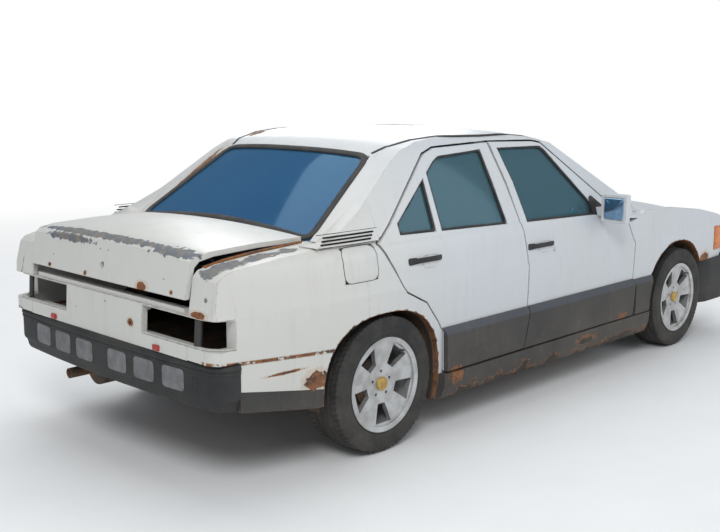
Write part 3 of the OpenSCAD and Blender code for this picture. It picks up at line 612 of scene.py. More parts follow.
class BodyPaint:
    """White body paint with its peeled, rusted and pierced places, cladding and door trim; the pierced places
    are painted near-black as the shade inside the holes.
    """

    def __init__(self, net: Net, groups: Groups, place: Socket) -> None:
        self.net = net
        self.groups = groups
        self.place = place
        self.lines = PaintLines()
        self.damage = PaintDamage()
        split = net.node("SeparateXYZ")
        net.put(place, split.inputs[0])
        self.x, y, self.z = split.outputs
        self.side = net.math("ABSOLUTE", y)
        self.cloud = net.noise(place, 1.6, 5.0, 0.6)
        self.ragged = net.noise(place, 34.0, 6.0, 0.66)
        self.fine = net.noise(place, 120.0, 4.0, 0.7)
        self.swing = net.times(net.minus(self.ragged, 0.5), 2.4)

    def patches(self, group: Sequence[Blemish], rag: float | None = None, grow: float = 1.0) -> list[Socket]:
        """One mask for each blemish.

        Args:
            group: the blemishes.
            rag: how far their edges swing, or None for each one's own.
            grow: scale of their reach.

        Returns:
            The masks.
        """
        made = []
        for b in group:
            swing = self.net.times(self.swing, b.rag if rag is None else rag)
            reach = tuple(r * grow for r in b.reach)
            patch = self.net.group(self.groups.patch, Place=self.place, Centre=b.centre, Reach=reach,
                                   Rag=swing)
            made.append(patch.outputs["Mask"])
        return made

    def line(self, x0: float, z0: float, rise: float) -> Socket:
        """Height of a sloping line: z0 at x0, rising by rise per metre."""
        return self.net.plus(self.net.times(self.net.minus(self.x, x0), rise), z0)

    def white(self) -> Socket:
        """Cool white that warms towards the rear, clouded, streaked, and stained round the rust."""
        net = self.net
        warm = net.times(net.ramp(self.x, -0.7, -1.7), 0.75)
        white = net.mix(warm, (0.515, 0.54, 0.565), (0.56, 0.545, 0.495))
        white = net.mix(net.times(net.ramp(self.cloud, 0.45, 0.75), 0.4), white, (0.53, 0.53, 0.52))
        streak = net.ramp(net.noise(self.place, 16.0, 5.0, 0.6, (2.0, 2.0, 0.16)), 0.56, 0.78)
        white = net.mix(net.times(streak, 0.28), white, (0.40, 0.37, 0.32))
        stain = net.most(self.patches(self.damage.rusted[:self.damage.stained], 0.3, 1.5))
        return net.mix(net.times(stain, 0.35), white, (0.46, 0.30, 0.16))

    def arches(self) -> tuple[list[Socket], list[Socket]]:
        """Bands round the wheel arches.

        Returns:
            Masks of the rusted lips, and of the dark faces within them.
        """
        net = self.net
        lips, within = [], []
        for arch in ARCHES:
            width = net.math("MAXIMUM", 0.001, net.plus(0.010, net.times(self.swing, 0.05)))
            band = net.group(self.groups.arch, Place=self.place, Centre=(arch.centre[0], 0, arch.centre[1]),
                             Reach=(arch.half[0], 1, arch.half[1]), Power=arch.power,
                             Width=width).outputs["Mask"]
            lips.append(net.times(band, net.above(self.side, self.lines.arch_lip, 0.005)))
            within.append(net.times(band, net.below(self.side, self.lines.arch_lip, 0.005)))
        return lips, within

    def seam(self) -> Socket:
        """Broken rust along the seam low on the rear quarter."""
        net, at = self.net, self.lines
        away = net.math("ABSOLUTE", net.minus(self.z, self.line(*at.seam_slope)))
        return net.times(net.ramp(away, 0.011, 0.004), net.below(self.x, at.seam_front, 0.015),
                         net.ramp(self.ragged, 0.42, 0.5), net.above(self.side, at.seam_side, 0.01))

    def rot(self, lobe: Socket, base: float, reach: float) -> Socket:
        """The sill below a ragged line: base + reach * lobe."""
        net, at = self.net, self.lines
        outer = net.times(net.above(self.side, at.rot_side, 0.01), net.above(self.x, at.rot_ends[0], 0.01),
                          net.below(self.x, at.rot_ends[1], 0.01))
        ragged = net.plus(base, net.times(lobe, reach))
        return net.times(outer, net.below(net.minus(self.z, ragged), 0.0, 0.003))

    def cladding(self) -> tuple[Socket, Socket]:
        """Mask and colour of the plastic cladding, the sill and the lower strip, with a painted sky sheen
        along the cladding's top bevel.
        """
        net, at = self.net, self.lines
        proud = net.times(net.above(self.side, at.cladding_side), net.below(self.z, at.cladding_top))
        under = net.times(net.below(self.z, at.sill_top), net.above(self.x, at.sill_ends[0], 0.005),
                          net.below(self.x, at.sill_ends[1], 0.005))
        below = net.below(net.minus(self.z, self.line(*at.strip_slope)), 0.001, 0.001)
        strip = net.times(below, net.below(self.x, at.strip_front, 0.005))
        shade = net.mix(net.ramp(self.cloud, 0.35, 0.65), (0.024, 0.024, 0.025), (0.042, 0.040, 0.038))
        # painted highlight: the cladding's upward-facing top bevel is a lighter bluish strip, standing in for
        # the sky's sheen on it
        bevel = net.times(net.above(self.z, at.bevel_foot, 0.0025),
                          net.above(self.side, at.bevel_side, 0.005))
        shade = net.mix(bevel, shade, (0.050, 0.058, 0.072))
        shade = net.mix(net.times(net.ramp(self.fine, 0.55, 0.8), 0.35), shade, (0.07, 0.067, 0.061))
        return net.most([proud, under, strip]), shade

    def trim(self) -> Socket:
        """Mask of the inner door trim."""
        net, at = self.net, self.lines
        return net.times(net.below(self.side, at.trim_sides[1], 0.0025),
                         net.below(self.z, at.trim_heights[1], 0.0025),
                         net.above(self.side, at.trim_sides[0], 0.005),
                         net.above(self.z, at.trim_heights[0], 0.005),
                         net.above(self.x, at.trim_ends[0], 0.025), net.below(self.x, at.trim_ends[1], 0.01))

    def dress(self, shader: bpy.types.Node) -> None:
        """Joins the masks and colours up to a Principled shader."""
        net = self.net
        peeled = net.most(self.patches(self.damage.peeled))
        lips, within = self.arches()
        specks = net.ramp(net.noise(self.place, 23.0, 6.0, 0.72), 0.735, 0.76)
        worn = net.group(self.groups.wear, Place=self.place, Amount=1.0).outputs["Mask"]
        # the sill rots upward from its lower edge; the holes follow the rust a little lower and are painted
        # near-black, as the shade inside them
        lobe = net.noise(self.place, 8.0, 6.0, 0.68)
        pierced = net.most(self.patches(self.damage.pierced) + [self.rot(lobe, 0.026, 0.314)])
        rusted = net.most(self.patches(self.damage.rusted) + lips
                          + [self.seam(), specks, worn, self.rot(lobe, 0.035, 0.32)])
        rust = net.group(self.groups.rust, Place=self.place, Scale=24.0)
        clad, shade = self.cladding()
        trim = self.trim()
        bare = net.times(peeled, net.minus(1.0, clad))
        primer = net.mix(net.ramp(self.ragged, 0.4, 0.62), (0.10, 0.125, 0.155), (0.19, 0.165, 0.135))
        colour = net.mix(clad, self.white(), shade)
        colour = net.mix(trim, colour, net.mix(self.ragged, (0.07, 0.075, 0.08), (0.12, 0.12, 0.12)))
        dark = net.mix(self.ragged, (0.018, 0.016, 0.014), (0.06, 0.045, 0.034))
        colour = net.mix(net.most(within), colour, dark)
        colour = net.mix(bare, colour, primer)
        colour = net.mix(rusted, colour, rust.outputs["Colour"])
        # painted shade: the pierced places are near-black, standing in for the shade inside the holes
        colour = net.mix(pierced, colour, (0.004, 0.003, 0.003))
        dusty = net.group(self.groups.dust, Place=self.place, Colour=colour, Amount=0.34)
        net.put(dusty.outputs["Colour"], shader.inputs["Base Color"])
        dull = net.most([rusted, clad, net.times(bare, 0.8), trim])
        rough = net.plus(net.times(self.fine, 0.16), 0.27, net.times(dull, 0.38),
                         net.times(dusty.outputs["Mask"], 0.5), clamp=True)
        net.put(rough, shader.inputs["Roughness"])
        level = net.minus(net.times(self.fine, 0.12), net.times(bare, 0.5))
        level = net.plus(level, net.times(rusted, net.plus(rust.outputs["Height"], 0.2)))
        level = net.minus(level, net.times(pierced, 2.5))
        dent = net.times(net.noise(self.place, 2.2, 2.0, 0.4), 2.2)
        level = net.plus(level, net.times(dent, net.minus(1.0, clad)))
        net.put(net.bump(level, 0.8, 0.0016), shader.inputs["Normal"])


class Finishes:
    """Builds each material once and hands it out."""

    def __init__(self) -> None:
        self.groups = Groups()
        self._made: dict[str, bpy.types.Material] = {}

    @staticmethod
    def _start(name: str) -> tuple[bpy.types.Material, Net, bpy.types.Node, Socket]:
        """Makes a material with one Principled shader and object-space coordinates."""
        material = bpy.data.materials.new(name)
        material.use_nodes = True
        tree = material.node_tree
        tree.nodes.clear()
        net = Net(tree)
        shader = net.node("BsdfPrincipled")
        place = net.node("TexCoord").outputs["Object"]
        return material, net, shader, place

    def get(self, paint: Finish) -> bpy.types.Material:
        """The material of a finish, built on first use."""
        if paint.name not in self._made:
            self._made[paint.name] = self._build(paint)
        return self._made[paint.name]

    def _build(self, f: Finish) -> bpy.types.Material:
        """Builds one finish: colour variation, rust, dust, worn edges, roughness and relief."""
        material, net, shader, place = self._start(f.name)
        cloud = net.noise(place, f.grain, 5.0, 0.6)
        fine = net.noise(place, f.grain * 14.0, 4.0, 0.65)
        colour = net.mix(net.ramp(cloud, 0.35, 0.66), f.colour, f.second)
        colour = net.mix(net.times(net.ramp(fine, 0.5, 0.8), 0.35), colour, f.second)
        height = fine
        if f.weave:
            part = net.node("SeparateXYZ")
            net.put(net.vector("MULTIPLY", place, (f.weave,) * 3), part.inputs[0])
            waves = [net.math("SINE", part.outputs[i]) for i in range(3)]
            thread = net.times(net.plus(waves[0], waves[2]), net.plus(waves[1], 1.4))
            height = net.plus(fine, net.times(thread, 0.25))
            colour = net.mix(net.times(net.ramp(thread, -1.0, 2.0), 0.4), colour, f.second)
        if f.rust:
            rust = net.group(self.groups.rust, Place=place, Scale=14.0)
            spread = net.ramp(net.noise(place, 5.0, 6.0, 0.66), 0.78 - 0.45 * f.rust, 0.86 - 0.45 * f.rust)
            colour = net.mix(spread, colour, rust.outputs["Colour"])
            height = net.plus(height, net.times(rust.outputs["Height"], spread))
        if f.wear is not None:
            worn = net.group(self.groups.wear, Place=place, Amount=f.wear_amount).outputs["Mask"]
            colour = net.mix(worn, colour, f.wear)
        if f.dust:
            dusty = net.group(self.groups.dust, Place=place, Colour=colour, Amount=f.dust)
            colour = dusty.outputs["Colour"]
            soiled = dusty.outputs["Mask"]
        else:
            soiled = 0.0
        spread = net.plus(net.times(fine, f.rough[1] - f.rough[0]), f.rough[0])
        rough = net.plus(spread, net.times(soiled, 0.35), clamp=True)
        net.put(colour, shader.inputs["Base Color"])
        net.put(rough, shader.inputs["Roughness"])
        net.put(f.metal, shader.inputs["Metallic"])
        net.put(f.glass, shader.inputs["Transmission Weight"])
        net.put(net.bump(height, 0.7, f.bump), shader.inputs["Normal"])
        out = net.node("OutputMaterial")
        if f.glass > 0.5:
            net.put(self._glazed(net, shader, soiled, f), out.inputs[0])
        else:
            net.put(shader.outputs[0], out.inputs[0])
        return material

    @staticmethod
    def _glazed(net: Net, shader: bpy.types.Node, soiled: Value, f: Finish) -> Socket:
        """Tinted glass: a clear tint with a sheen from Fresnel, dull where it is soiled."""
        clear = net.node("BsdfTransparent")
        net.put(f.colour, clear.inputs[0])
        gloss = net.node("BsdfGlossy")
        net.put((0.45, 0.68, 0.8), gloss.inputs["Color"])
        net.put(0.06, gloss.inputs["Roughness"])
        film = net.node("BsdfDiffuse")
        net.put(f.second, film.inputs["Color"])
        angle = net.node("Fresnel")
        net.put(1.5, angle.inputs["IOR"])
        lit = net.blend(angle.outputs[0], clear.outputs[0], gloss.outputs[0])
        net.tree.nodes.remove(shader)
        return net.blend(net.plus(net.times(soiled, 0.8), 0.24, clamp=True), lit, film.outputs[0])

    def paint(self) -> bpy.types.Material:
        """The body paint, built on first use."""
        name = "white_paint"
        if name not in self._made:
            material, net, shader, place = self._start(name)
            BodyPaint(net, self.groups, place).dress(shader)
            out = net.node("OutputMaterial")
            net.put(shader.outputs[0], out.inputs[0])
            self._made[name] = material
        return self._made[name]


# ----------------------------------------------------------------------------- mesh building

def grid(rows: int, cols: int, wrap_rows: bool = False, wrap_cols: bool = False) -> Array:
    """Quads of a grid of rows x cols points, in row-major order.

    Args:
        rows, cols: number of points each way.
        wrap_rows, wrap_cols: whether the last joins the first.

    Returns:
        An array of quads, four indices each.
    """
    i = np.arange(rows if wrap_rows else rows - 1)[:, None]
    j = np.arange(cols if wrap_cols else cols - 1)[None, :]
    ni, nj = (i + 1) % rows, (j + 1) % cols
    quads = np.stack([i * cols + j, ni * cols + j, ni * cols + nj, i * cols + nj], axis=-1)
    return quads.reshape(-1, 4)


@dataclass
class Shape:
    """Vertices and faces that grow piece by piece before they become one mesh."""

    points: list = field(default_factory=list)
    faces: list = field(default_factory=list)
    count: int = 0

    def add(self, points: Array, *faces: Sequence) -> "Shape":
        """Adds points and the faces that join them."""
        for group in faces:
            self.faces.extend((np.asarray(f) + self.count).tolist() for f in group)
        self.points.append(np.asarray(points, float).reshape(-1, 3))
        self.count += len(self.points[-1])
        return self

    def mesh(self, name: str, sharp: float = 35.0) -> bpy.types.Object:
        """Makes the object with outward normals, smooth but for edges sharper than sharp degrees."""
        data = bpy.data.meshes.new(name)
        data.from_pydata(np.concatenate(self.points).tolist(), [], self.faces)
        work = bmesh.new()
        work.from_mesh(data)
        bmesh.ops.recalc_face_normals(work, faces=work.faces)
        work.to_mesh(data)
        work.free()
        data.shade_smooth()
        data.set_sharp_from_angle(angle=math.radians(sharp))
        made = bpy.data.objects.new(name, data)
        bpy.context.scene.collection.objects.link(made)
        return made


def sweep(shape: Shape, path: Array, section: Array, out: Array, closed: bool = False) -> Shape:
    """Sweeps a closed section along a path.

    The section's first coordinate runs across the path and its second along the outward direction;
    across = direction of the path x outward.

    Args:
        shape: shape to add to.
        path: points along the path, (n, 3).
        section: closed outline, (m, 2), in metres.
        out: outward direction at each point, (n, 3) or (3,).
        closed: whether the path is a loop.
    """
    path = np.asarray(path, float)
    out = np.broadcast_to(np.asarray(out, float), path.shape)
    if closed:
        along = np.roll(path, -1, 0) - np.roll(path, 1, 0)
    else:
        along = np.gradient(path, axis=0)
    along /= np.linalg.norm(along, axis=1, keepdims=True)
    across = np.cross(along, out)
    across /= np.linalg.norm(across, axis=1, keepdims=True)
    up = np.cross(across, along)
    ring = path[:, None] + section[None, :, :1] * across[:, None] + section[None, :, 1:] * up[:, None]
    n, m = len(path), len(section)
    faces = [grid(n, m, closed, True)]
    if not closed:
        faces.append([list(range(m))])
        faces.append([list(range((n - 1) * m, n * m))])
    return shape.add(ring, *faces)


def oval(width: float, height: float, power: float = 2.0, count: int = 12, lift: float = 0.0) -> Array:
    """Closed outline |2u/width|^power + |2v/height|^power = 1, raised by lift."""
    t = np.linspace(0, 2 * math.pi, count, endpoint=False)
    c, s = np.cos(t), np.sin(t)
    u = 0.5 * width * np.sign(c) * np.abs(c) ** (2 / power)
    v = 0.5 * height * np.sign(s) * np.abs(s) ** (2 / power)
    return np.stack([u, v + lift], axis=1)


def softened(corners: Sequence, radius: float, steps: int = 5, spacing: float = 0.03) -> Array:
    """Rounds the corners of a closed outline and spaces points along its sides.

    Args:
        corners: corner points, (n, 2).
        radius: how far from a corner its curve starts, at most 45% of the side.
        steps: points on each curve.
        spacing: longest distance between points on a side.
    """
    corners = np.asarray(corners, float)
    made: list = []
    count = len(corners)
    t = np.linspace(0, 1, steps)[:, None]
    for i in range(count):
        before, here, after = corners[i - 1], corners[i], corners[(i + 1) % count]
        cut = [min(radius, 0.45 * np.linalg.norm(q - here)) for q in (before, after)]
        start = here + (before - here) / np.linalg.norm(before - here) * cut[0]
        end = here + (after - here) / np.linalg.norm(after - here) * cut[1]
        if made:
            last = made[-1][-1]
            inner = int(np.linalg.norm(start - last) // spacing)
            made.append(last + (start - last) * np.linspace(0, 1, inner + 2)[1:-1, None])
        made.append((1 - t) ** 2 * start + 2 * t * (1 - t) * here + t**2 * end)
    last, first = made[-1][-1], made[0][0]
    inner = int(np.linalg.norm(first - last) // spacing)
    made.append(last + (first - last) * np.linspace(0, 1, inner + 2)[1:-1, None])
    return np.concatenate(made)


def pillow(shape: Shape, outline: Array, rings: Sequence[tuple[float, float]], lift: Lift) -> Shape:
    """A plate over a convex outline: each ring is the outline scaled about its centre, at its own height.

    Args:
        outline: (n, 2) points in the plate's own plane.
        rings: (scale, height) pairs from the outer foot to the innermost ring.
        lift: turns plane points and heights into points of the car.
    """
    centre = outline.mean(0)
    flat = np.concatenate([centre + (outline - centre) * s for s, _ in rings] + [centre[None]])
    tall = np.concatenate([np.full(len(outline), h) for _, h in rings] + [np.array([rings[-1][1]])])
    n, m = len(rings), len(outline)
    tip = n * m
    last = (n - 1) * m
    fan = [[last + i, last + (i + 1) % m, tip] for i in range(m)]
    return shape.add(lift(flat, tall), grid(n, m, False, True), fan, [list(range(m))])


def revolve(shape: Shape, profile: Array, centre: Vector, around: int, flip: float = 1.0,
            relief: Callable[[Array, Array], Array] | None = None, loop: bool = True) -> Shape:
    """Turns a profile of (y, radius) about a line along Y.

    Args:
        profile: (m, 2) points; y is multiplied by flip.
        relief: change of radius for angle (n, 1) and profile index (1, m).
        loop: whether the profile closes on itself; if not, its ends close on the axis.
    """
    turn = np.linspace(0, 2 * math.pi, around, endpoint=False)[:, None]
    radius = np.broadcast_to(profile[None, :, 1], (around, len(profile))).copy()
    if relief is not None:
        radius += relief(turn, np.arange(len(profile))[None, :])
    points = np.stack([centre.x + radius * np.cos(turn),
                       np.broadcast_to(centre.y + flip * profile[None, :, 0], radius.shape),
                       centre.z + radius * np.sin(turn)], axis=-1)
    return shape.add(points, grid(around, len(profile), True, loop))


def cushion(shape: Shape, half: tuple, power: float, count: int, warp: Callable[[Array], Array]) -> Shape:
    """A closed stuffed form: points of a cube's skin pushed out to |x|^p + |y|^p + |z|^p = 1, then warped.

    Args:
        half: half sizes along x, y and z.
        power: p of the formula; 2 is an egg and large is a box.
        count: points along each side of the cube.
        warp: moves the finished points into the car.
    """
    t = np.linspace(-1, 1, count)
    a, b = np.meshgrid(t, t, indexing="ij")
    one = np.ones_like(a)
    for axis in range(3):
        for sign in (-1.0, 1.0):
            cube = np.stack(np.roll([sign * one, a, b], axis, axis=0), axis=-1).reshape(-1, 3)
            size = (np.abs(cube) ** power).sum(1, keepdims=True) ** (1 / power)
            shape.add(warp(cube / size * np.array(half)), grid(count, count))
    return shape


def drawn_in(loop: Array, distance: float) -> Array:
    """A closed outline with each point moved towards its centre by a distance."""
    centre = loop.mean(0)
    return centre + (loop - centre) * (1 - distance / np.linalg.norm(loop - centre, axis=1, keepdims=True))


def rectangle(u0: float, v0: float, u1: float, v1: float) -> list[tuple[float, float]]:
    """Corners of an upright rectangle, in order."""
    return [(u0, v0), (u0, v1), (u1, v1), (u1, v0)]


def on_body(side: Side) -> Lift:
    """Lift for points (x, z) on one side of the lower body."""

    def lift(p: Array, h: Array) -> Array:
        """The points in the car, h proud of the skin."""
        return np.stack([p[:, 0], side.value * (BODY.skin_y(p[:, 0], p[:, 1]) + h), p[:, 1]], axis=1)

    return lift


def on_pillar(side: Side) -> Lift:
    """Lift for points (x, z) on one side of the leaning upper body."""

    def lift(p: Array, h: Array) -> Array:
        """The points in the car, h proud of the skin."""
        y = BODY.window_y(p[:, 1]) - BODY.bow(p[:, 0]) + h
        return np.stack([p[:, 0], side.value * y, p[:, 1]], axis=1)

    return lift


def weld(obj: bpy.types.Object, distance: float = 1e-5) -> None:
    """Joins points that lie together and turns normals outward."""
    work = bmesh.new()
    work.from_mesh(obj.data)
    bmesh.ops.remove_doubles(work, verts=work.verts, dist=distance)
    bmesh.ops.recalc_face_normals(work, faces=work.faces)
    work.to_mesh(obj.data)
    work.free()


# ----------------------------------------------------------------------------- the builder

class CarBuilder:
    """Builds every visible piece on the CAD frame."""

    def __init__(self) -> None:
        self.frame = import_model()
        self.finishes = Finishes()
        bodies = self.frame["record"]["behaviour"]["bodies"]
        self.body_of = {node: body for body, nodes in bodies.items() for node in nodes}
        self.pieces = 0

    # -- placing

    def place(self, obj: bpy.types.Object, body: str, paint: Finish | None,
              stands_for: Sequence[str] = ()) -> bpy.types.Object:
        """Gives a finished piece its material and its CAD body.

        Args:
            obj: the piece.
            body: CAD body that it moves with.
            paint: its finish; None is the body paint.
            stands_for: CAD nodes that it replaces.

        Returns:
            The same piece.
        """
        obj.data.materials.clear()
        obj.data.materials.append(self.finishes.paint() if paint is None else self.finishes.get(paint))
        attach(obj, body)
        if stands_for:
            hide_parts(*stands_for)
        self.pieces += 1
        LOG.info("%s on %s, %d vertices", obj.name, body, len(obj.data.vertices))
        return obj

    def solid(self, node: str, paint: Finish | None, bevel: float = 0.0022) -> bpy.types.Object:
        """A welded copy of a CAD node with rounded edges.

        Args:
            node: CAD node that it copies and replaces.
            paint: finish, or None for body paint.
            bevel: width of the rounded edges in metres.
        """
        data = self.frame["nodes"][node].data.copy()
        obj = bpy.data.objects.new("worn_" + node, data)
        bpy.context.scene.collection.objects.link(obj)
        work = bmesh.new()
        work.from_mesh(data)
        bmesh.ops.remove_doubles(work, verts=work.verts, dist=2e-5)
        bmesh.ops.dissolve_limit(work, angle_limit=math.radians(0.15), verts=work.verts, edges=work.edges)
        work.to_mesh(data)
        work.free()
        for name in [a.name for a in data.attributes if a.name.startswith("custom_normal")]:
            data.attributes.remove(data.attributes[name])
        data.shade_smooth()
        data.set_sharp_from_angle(angle=math.radians(33))
        if bevel:
            soft = obj.modifiers.new("edges", "BEVEL")
            soft.width = bevel
            soft.segments = 2
            soft.limit_method = "ANGLE"
            soft.angle_limit = math.radians(38)
            soft.use_clamp_overlap = True
            even = obj.modifiers.new("normals", "WEIGHTED_NORMAL")
            even.keep_sharp = True
        return self.place(obj, self.body_of[node], paint, [node])

    # -- groups of pieces

    def sheet_metal(self) -> None:
        """Body panels, doors and lids."""
        for node in ("left_side_frame", "right_side_frame", "roof_panel", "rear_panel", "bulkhead",
                     "left_wing",
                     "right_wing", "nose_panel", "bonnet", "boot_lid", "front_left_door", "front_right_door",
                     "rear_left_door", "rear_right_door", "left_mirror", "right_mirror"):
            self.solid(node, None)

    def glazing(self) -> None:
        """Windows, tinted teal, the rear one deeper."""
        for node in ("front_left_glass", "front_right_glass", "rear_left_glass", "rear_right_glass",
                     "windscreen"):
            self.solid(node, Palette.GLASS.value, 0.0)
        self.solid("rear_window", Palette.REAR_GLASS.value, 0.0)

    def running_gear(self) -> None:
        """Rims, axles, exhaust, floor and the plastic parts that are right as solids."""
        for side in Side:
            for row in Row:
                self.solid(f"{row.value}_{side.word}_rim", Palette.ALLOY.value, 0.0025)
            self.solid(f"{side.word}_knuckle", Palette.IRON.value)
        for node in ("front_subframe", "rear_axle", "exhaust", "floor_pan"):
            self.solid(node, Palette.STEEL.value)
        for node in ("grille", "steering_wheel", "rear_shelf"):
            self.solid(node, Palette.DARK.value)
        self.solid("dashboard", Palette.DARK.value, 0.012)
        self.solid("front_bumper", Palette.CHARCOAL.value, 0.006)
        self.solid("indicators", Palette.ORANGE.value, 0.004)

    def tyres(self) -> None:
        """Tyres with circumferential grooves and shoulder blocks; drums, caps and valves."""
        y = np.linspace(-0.08, 0.08, 49)
        crown = WHEEL.radius - 0.0015 - 0.9 * y**2
        grooves = sum(np.clip(1 - np.abs(np.abs(y) - at) / WHEEL.groove_half, 0, 1) for at in WHEEL.grooves)
        tread = np.stack([y, crown - WHEEL.groove_depth * np.clip(grooves * 1.6, 0, 1)], axis=1)
        wall = np.array(WHEEL.wall)
        other = wall[::-1] * (-1, 1)
        ring = np.concatenate([other, tread, wall])
        first = len(other)

        def blocks(turn: Array, index: Array) -> Array:
            """Cross cuts between the shoulder blocks: one every 5 degrees, slanted with y."""
            across = ring[index, 0]
            outer = (np.abs(across) > 0.05) & (index >= first - 3) & (index < first + len(y) + 3)
            wave = np.cos(72 * turn + 90 * np.abs(across))
            middle = (np.abs(across) < 0.012) & (index >= first) & (index < first + len(y))
            cut = np.clip((wave - 0.62) * 5, 0, 1)
            return -0.005 * cut * outer - 0.004 * np.clip((wave - 0.8) * 8, 0, 1) * middle

        for row in Row:
            for side in Side:
                s = side.value
                name = f"{row.value}_{side.word}"
                body = f"{name}_wheel"
                hub = WHEEL.hub(row, side)
                tyre = revolve(Shape(), ring, hub, WHEEL.around, s, blocks)
                self.place(tyre.mesh(f"tyre_{name}", 40), body, Palette.TYRE.value, [f"{name}_tyre"])
                drum = revolve(Shape(), np.array(WHEEL.drum), hub, 64, s)
                self.place(drum.mesh(f"drum_{name}", 30), body, Palette.STEEL.value)
                face = hub.y + s * WHEEL.cap_out
                cap = pillow(Shape(), oval(WHEEL.cap_width, WHEEL.cap_width, 2.0, 32), WHEEL.cap,
                             lambda p, h: np.stack([hub.x + p[:, 0], face + s * h, hub.z + p[:, 1]], 1))
                self.place(cap.mesh(f"cap_{name}", 30), body, Palette.CAP.value)
                out, radius, turn = WHEEL.valve_at
                foot = hub + Vector((radius * math.cos(turn), s * out, radius * math.sin(turn)))
                valve = revolve(Shape(), np.array(WHEEL.valve), foot, 10, s, loop=False)
                self.place(valve.mesh(f"valve_{name}", 30), body, Palette.SEAL.value)

    def wheel_liners(self) -> None:
        """Sheets that line the wheel arches; a point is centre + half lengths * (cos, sin)^(2/power)."""
        t = np.radians(np.linspace(-4, 184, 60))
        across, up = np.cos(t), np.sin(t)
        for arch in ARCHES:
            a, b = (half + arch.lining_gap for half in arch.half)
            x = arch.centre[0] + a * np.sign(across) * np.abs(across) ** (2 / arch.power)
            z = arch.centre[1] + b * np.sign(up) * np.abs(up) ** (2 / arch.power)
            y0, y1 = arch.lining
            for side in Side:
                path = np.column_stack([x, np.full(len(t), side.value * (y0 + y1) / 2), z])
                made = sweep(Shape(), path, oval(0.006, y1 - y0, 8.0, 16), (0, 1, 0))
                name = f"wheel_liner_{arch.row.value}_{side.word}"
                self.place(made.mesh(name, 50), "shell", Palette.STEEL.value)

    def seals(self) -> None:
        """Rubber round the front and rear windows, mouldings along the roof and edges of the door windows."""
        self.screen_seals()
        self.roof_mouldings()
        self.window_edges()

    def screen_seals(self) -> None:
        """Rubber round the windscreen and the rear window."""
        rear = ((-1.077, 0.508), (-1.56, 0.62097), (-1.56, -0.62097), (-1.077, -0.508))
        front = ((0.93, 0.6527), (0.183, 0.532), (0.183, -0.532), (0.93, -0.6527))
        for name, corners, width in (("rear", rear, 0.034), ("front", front, 0.026)):
            loop = drawn_in(softened(corners, 0.06, 7), 0.012)
            z = BODY.roof_z(loop[:, 0], loop[:, 1])
            step = 1e-3
            slope = (BODY.roof_z(loop[:, 0] + step, loop[:, 1]) - z) / step
            lean = (BODY.roof_z(loop[:, 0], loop[:, 1] + step) - z) / step
            out = np.stack([-slope, -lean, np.ones_like(z)], axis=1)
            out /= np.linalg.norm(out, axis=1, keepdims=True)
            path = np.column_stack([loop, z])
            made = sweep(Shape(), path, oval(width, 0.014, 3.0, 14, -0.002), out, True)
            self.place(made.mesh(f"seal_{name}_window", 50), "shell", Palette.SEAL.value)

    def roof_mouldings(self) -> None:
        """Strips along both sides of the roof and down the windscreen pillars."""
        track = np.array([[-1.06, 0.500], [-0.98, 0.535], [-0.818, 0.562], [-0.60, 0.578], [-0.362, 0.583],
                          [-0.14, 0.580], [0.061, 0.575], [0.185, 0.574], [0.361, 0.600], [0.60, 0.638],
                          [0.80, 0.668], [0.90, 0.682]])
        t = np.linspace(0, len(track) - 1, 90)
        x = np.interp(t, np.arange(len(track)), track[:, 0])
        y = np.interp(t, np.arange(len(track)), track[:, 1])
        side_z = np.interp(BODY.half_width - y, np.array(BODY.glass_line)[:, 0],
                           np.array(BODY.glass_line)[:, 1])
        z = np.minimum(BODY.roof_z(x, y), side_z)
        for side in Side:
            path = np.column_stack([x, side.value * y, z - 0.0015])
            made = sweep(Shape(), path, oval(0.017, 0.009, 3.0, 12), (0, side.value * 0.4, 1.0))
            self.place(made.mesh(f"moulding_{side.word}", 50), "shell", Palette.SEAL.value)

    def window_edges(self) -> None:
        """Rubber edges of the door windows."""
        front_window = ((0.48, 0.905), (-0.205, 0.922), (-0.232, 1.12), (-0.284, 1.292), (0.085, 1.288),
                        (0.12, 1.27))
        rear_window = ((-0.368, 0.928), (-0.868, 0.942), (-0.866, 1.203), (-0.8, 1.25), (-0.755, 1.272),
                       (-0.42, 1.29), (-0.392, 1.12))
        quarter = ((-0.905, 0.943), (-1.15, 0.95), (-1.15, 1.0), (-0.898, 1.18))
        for side in Side:
            for row, label, corners in ((Row.FRONT, "window", front_window),
                                        (Row.REAR, "window", rear_window),
                                        (Row.REAR, "quarter", quarter)):
                loop = drawn_in(softened(corners, 0.022, 5), 0.005)
                path = np.stack([loop[:, 0], side.value * (BODY.window_y(loop[:, 1]) - 0.009), loop[:, 1]],
                                axis=1)
                made = sweep(Shape(), path, oval(0.013, 0.011, 3.0, 10), (0, side.value, 0.35), True)
                body = f"{row.value}_{side.word}_door"
                self.place(made.mesh(f"edge_{row.value}_{side.word}_{label}", 50), body, Palette.SEAL.value)

    def fittings(self) -> None:
        """The fuel door, and on both sides handles, vents, pillar feet, indicators and mirror glass."""
        self.fuel_door()
        for side in Side:
            for row, x0, z0 in ((Row.FRONT, -0.232, 0.800), (Row.REAR, -1.135, 0.833)):
                self.handle(side, row, x0, z0)
            self.vents(side)
            self.pillar_foot(side)
            self.side_indicator(side)
            self.mirror(side)

    def fuel_door(self) -> None:
        """Rounded fuel flap and the thin seam round it."""
        plate = softened([(-1.529, 0.787), (-1.534, 0.933), (-1.334, 0.933), (-1.329, 0.787)], 0.042, 8,
                         0.02)
        on_right = on_body(Side.RIGHT)
        rings = ((0.97, -0.006), (1, 0.0006), (0.99, 0.0016), (0.97, 0.0021), (0.6, 0.0021), (0.3, 0.0021))
        flap = pillow(Shape(), plate, rings, on_right)
        self.place(flap.mesh("fuel_door"), "fuel_flap", None, ["fuel_flap"])
        centre = plate.mean(0)
        rim = on_right(centre + (plate - centre) * 1.012, np.full(len(plate), 0.0003))
        seam = sweep(Shape(), rim, oval(0.0034, 0.002, 2, 8), (0, -1, 0), True)
        self.place(seam.mesh("fuel_door_seam", 60), "shell", Palette.SEAL.value)

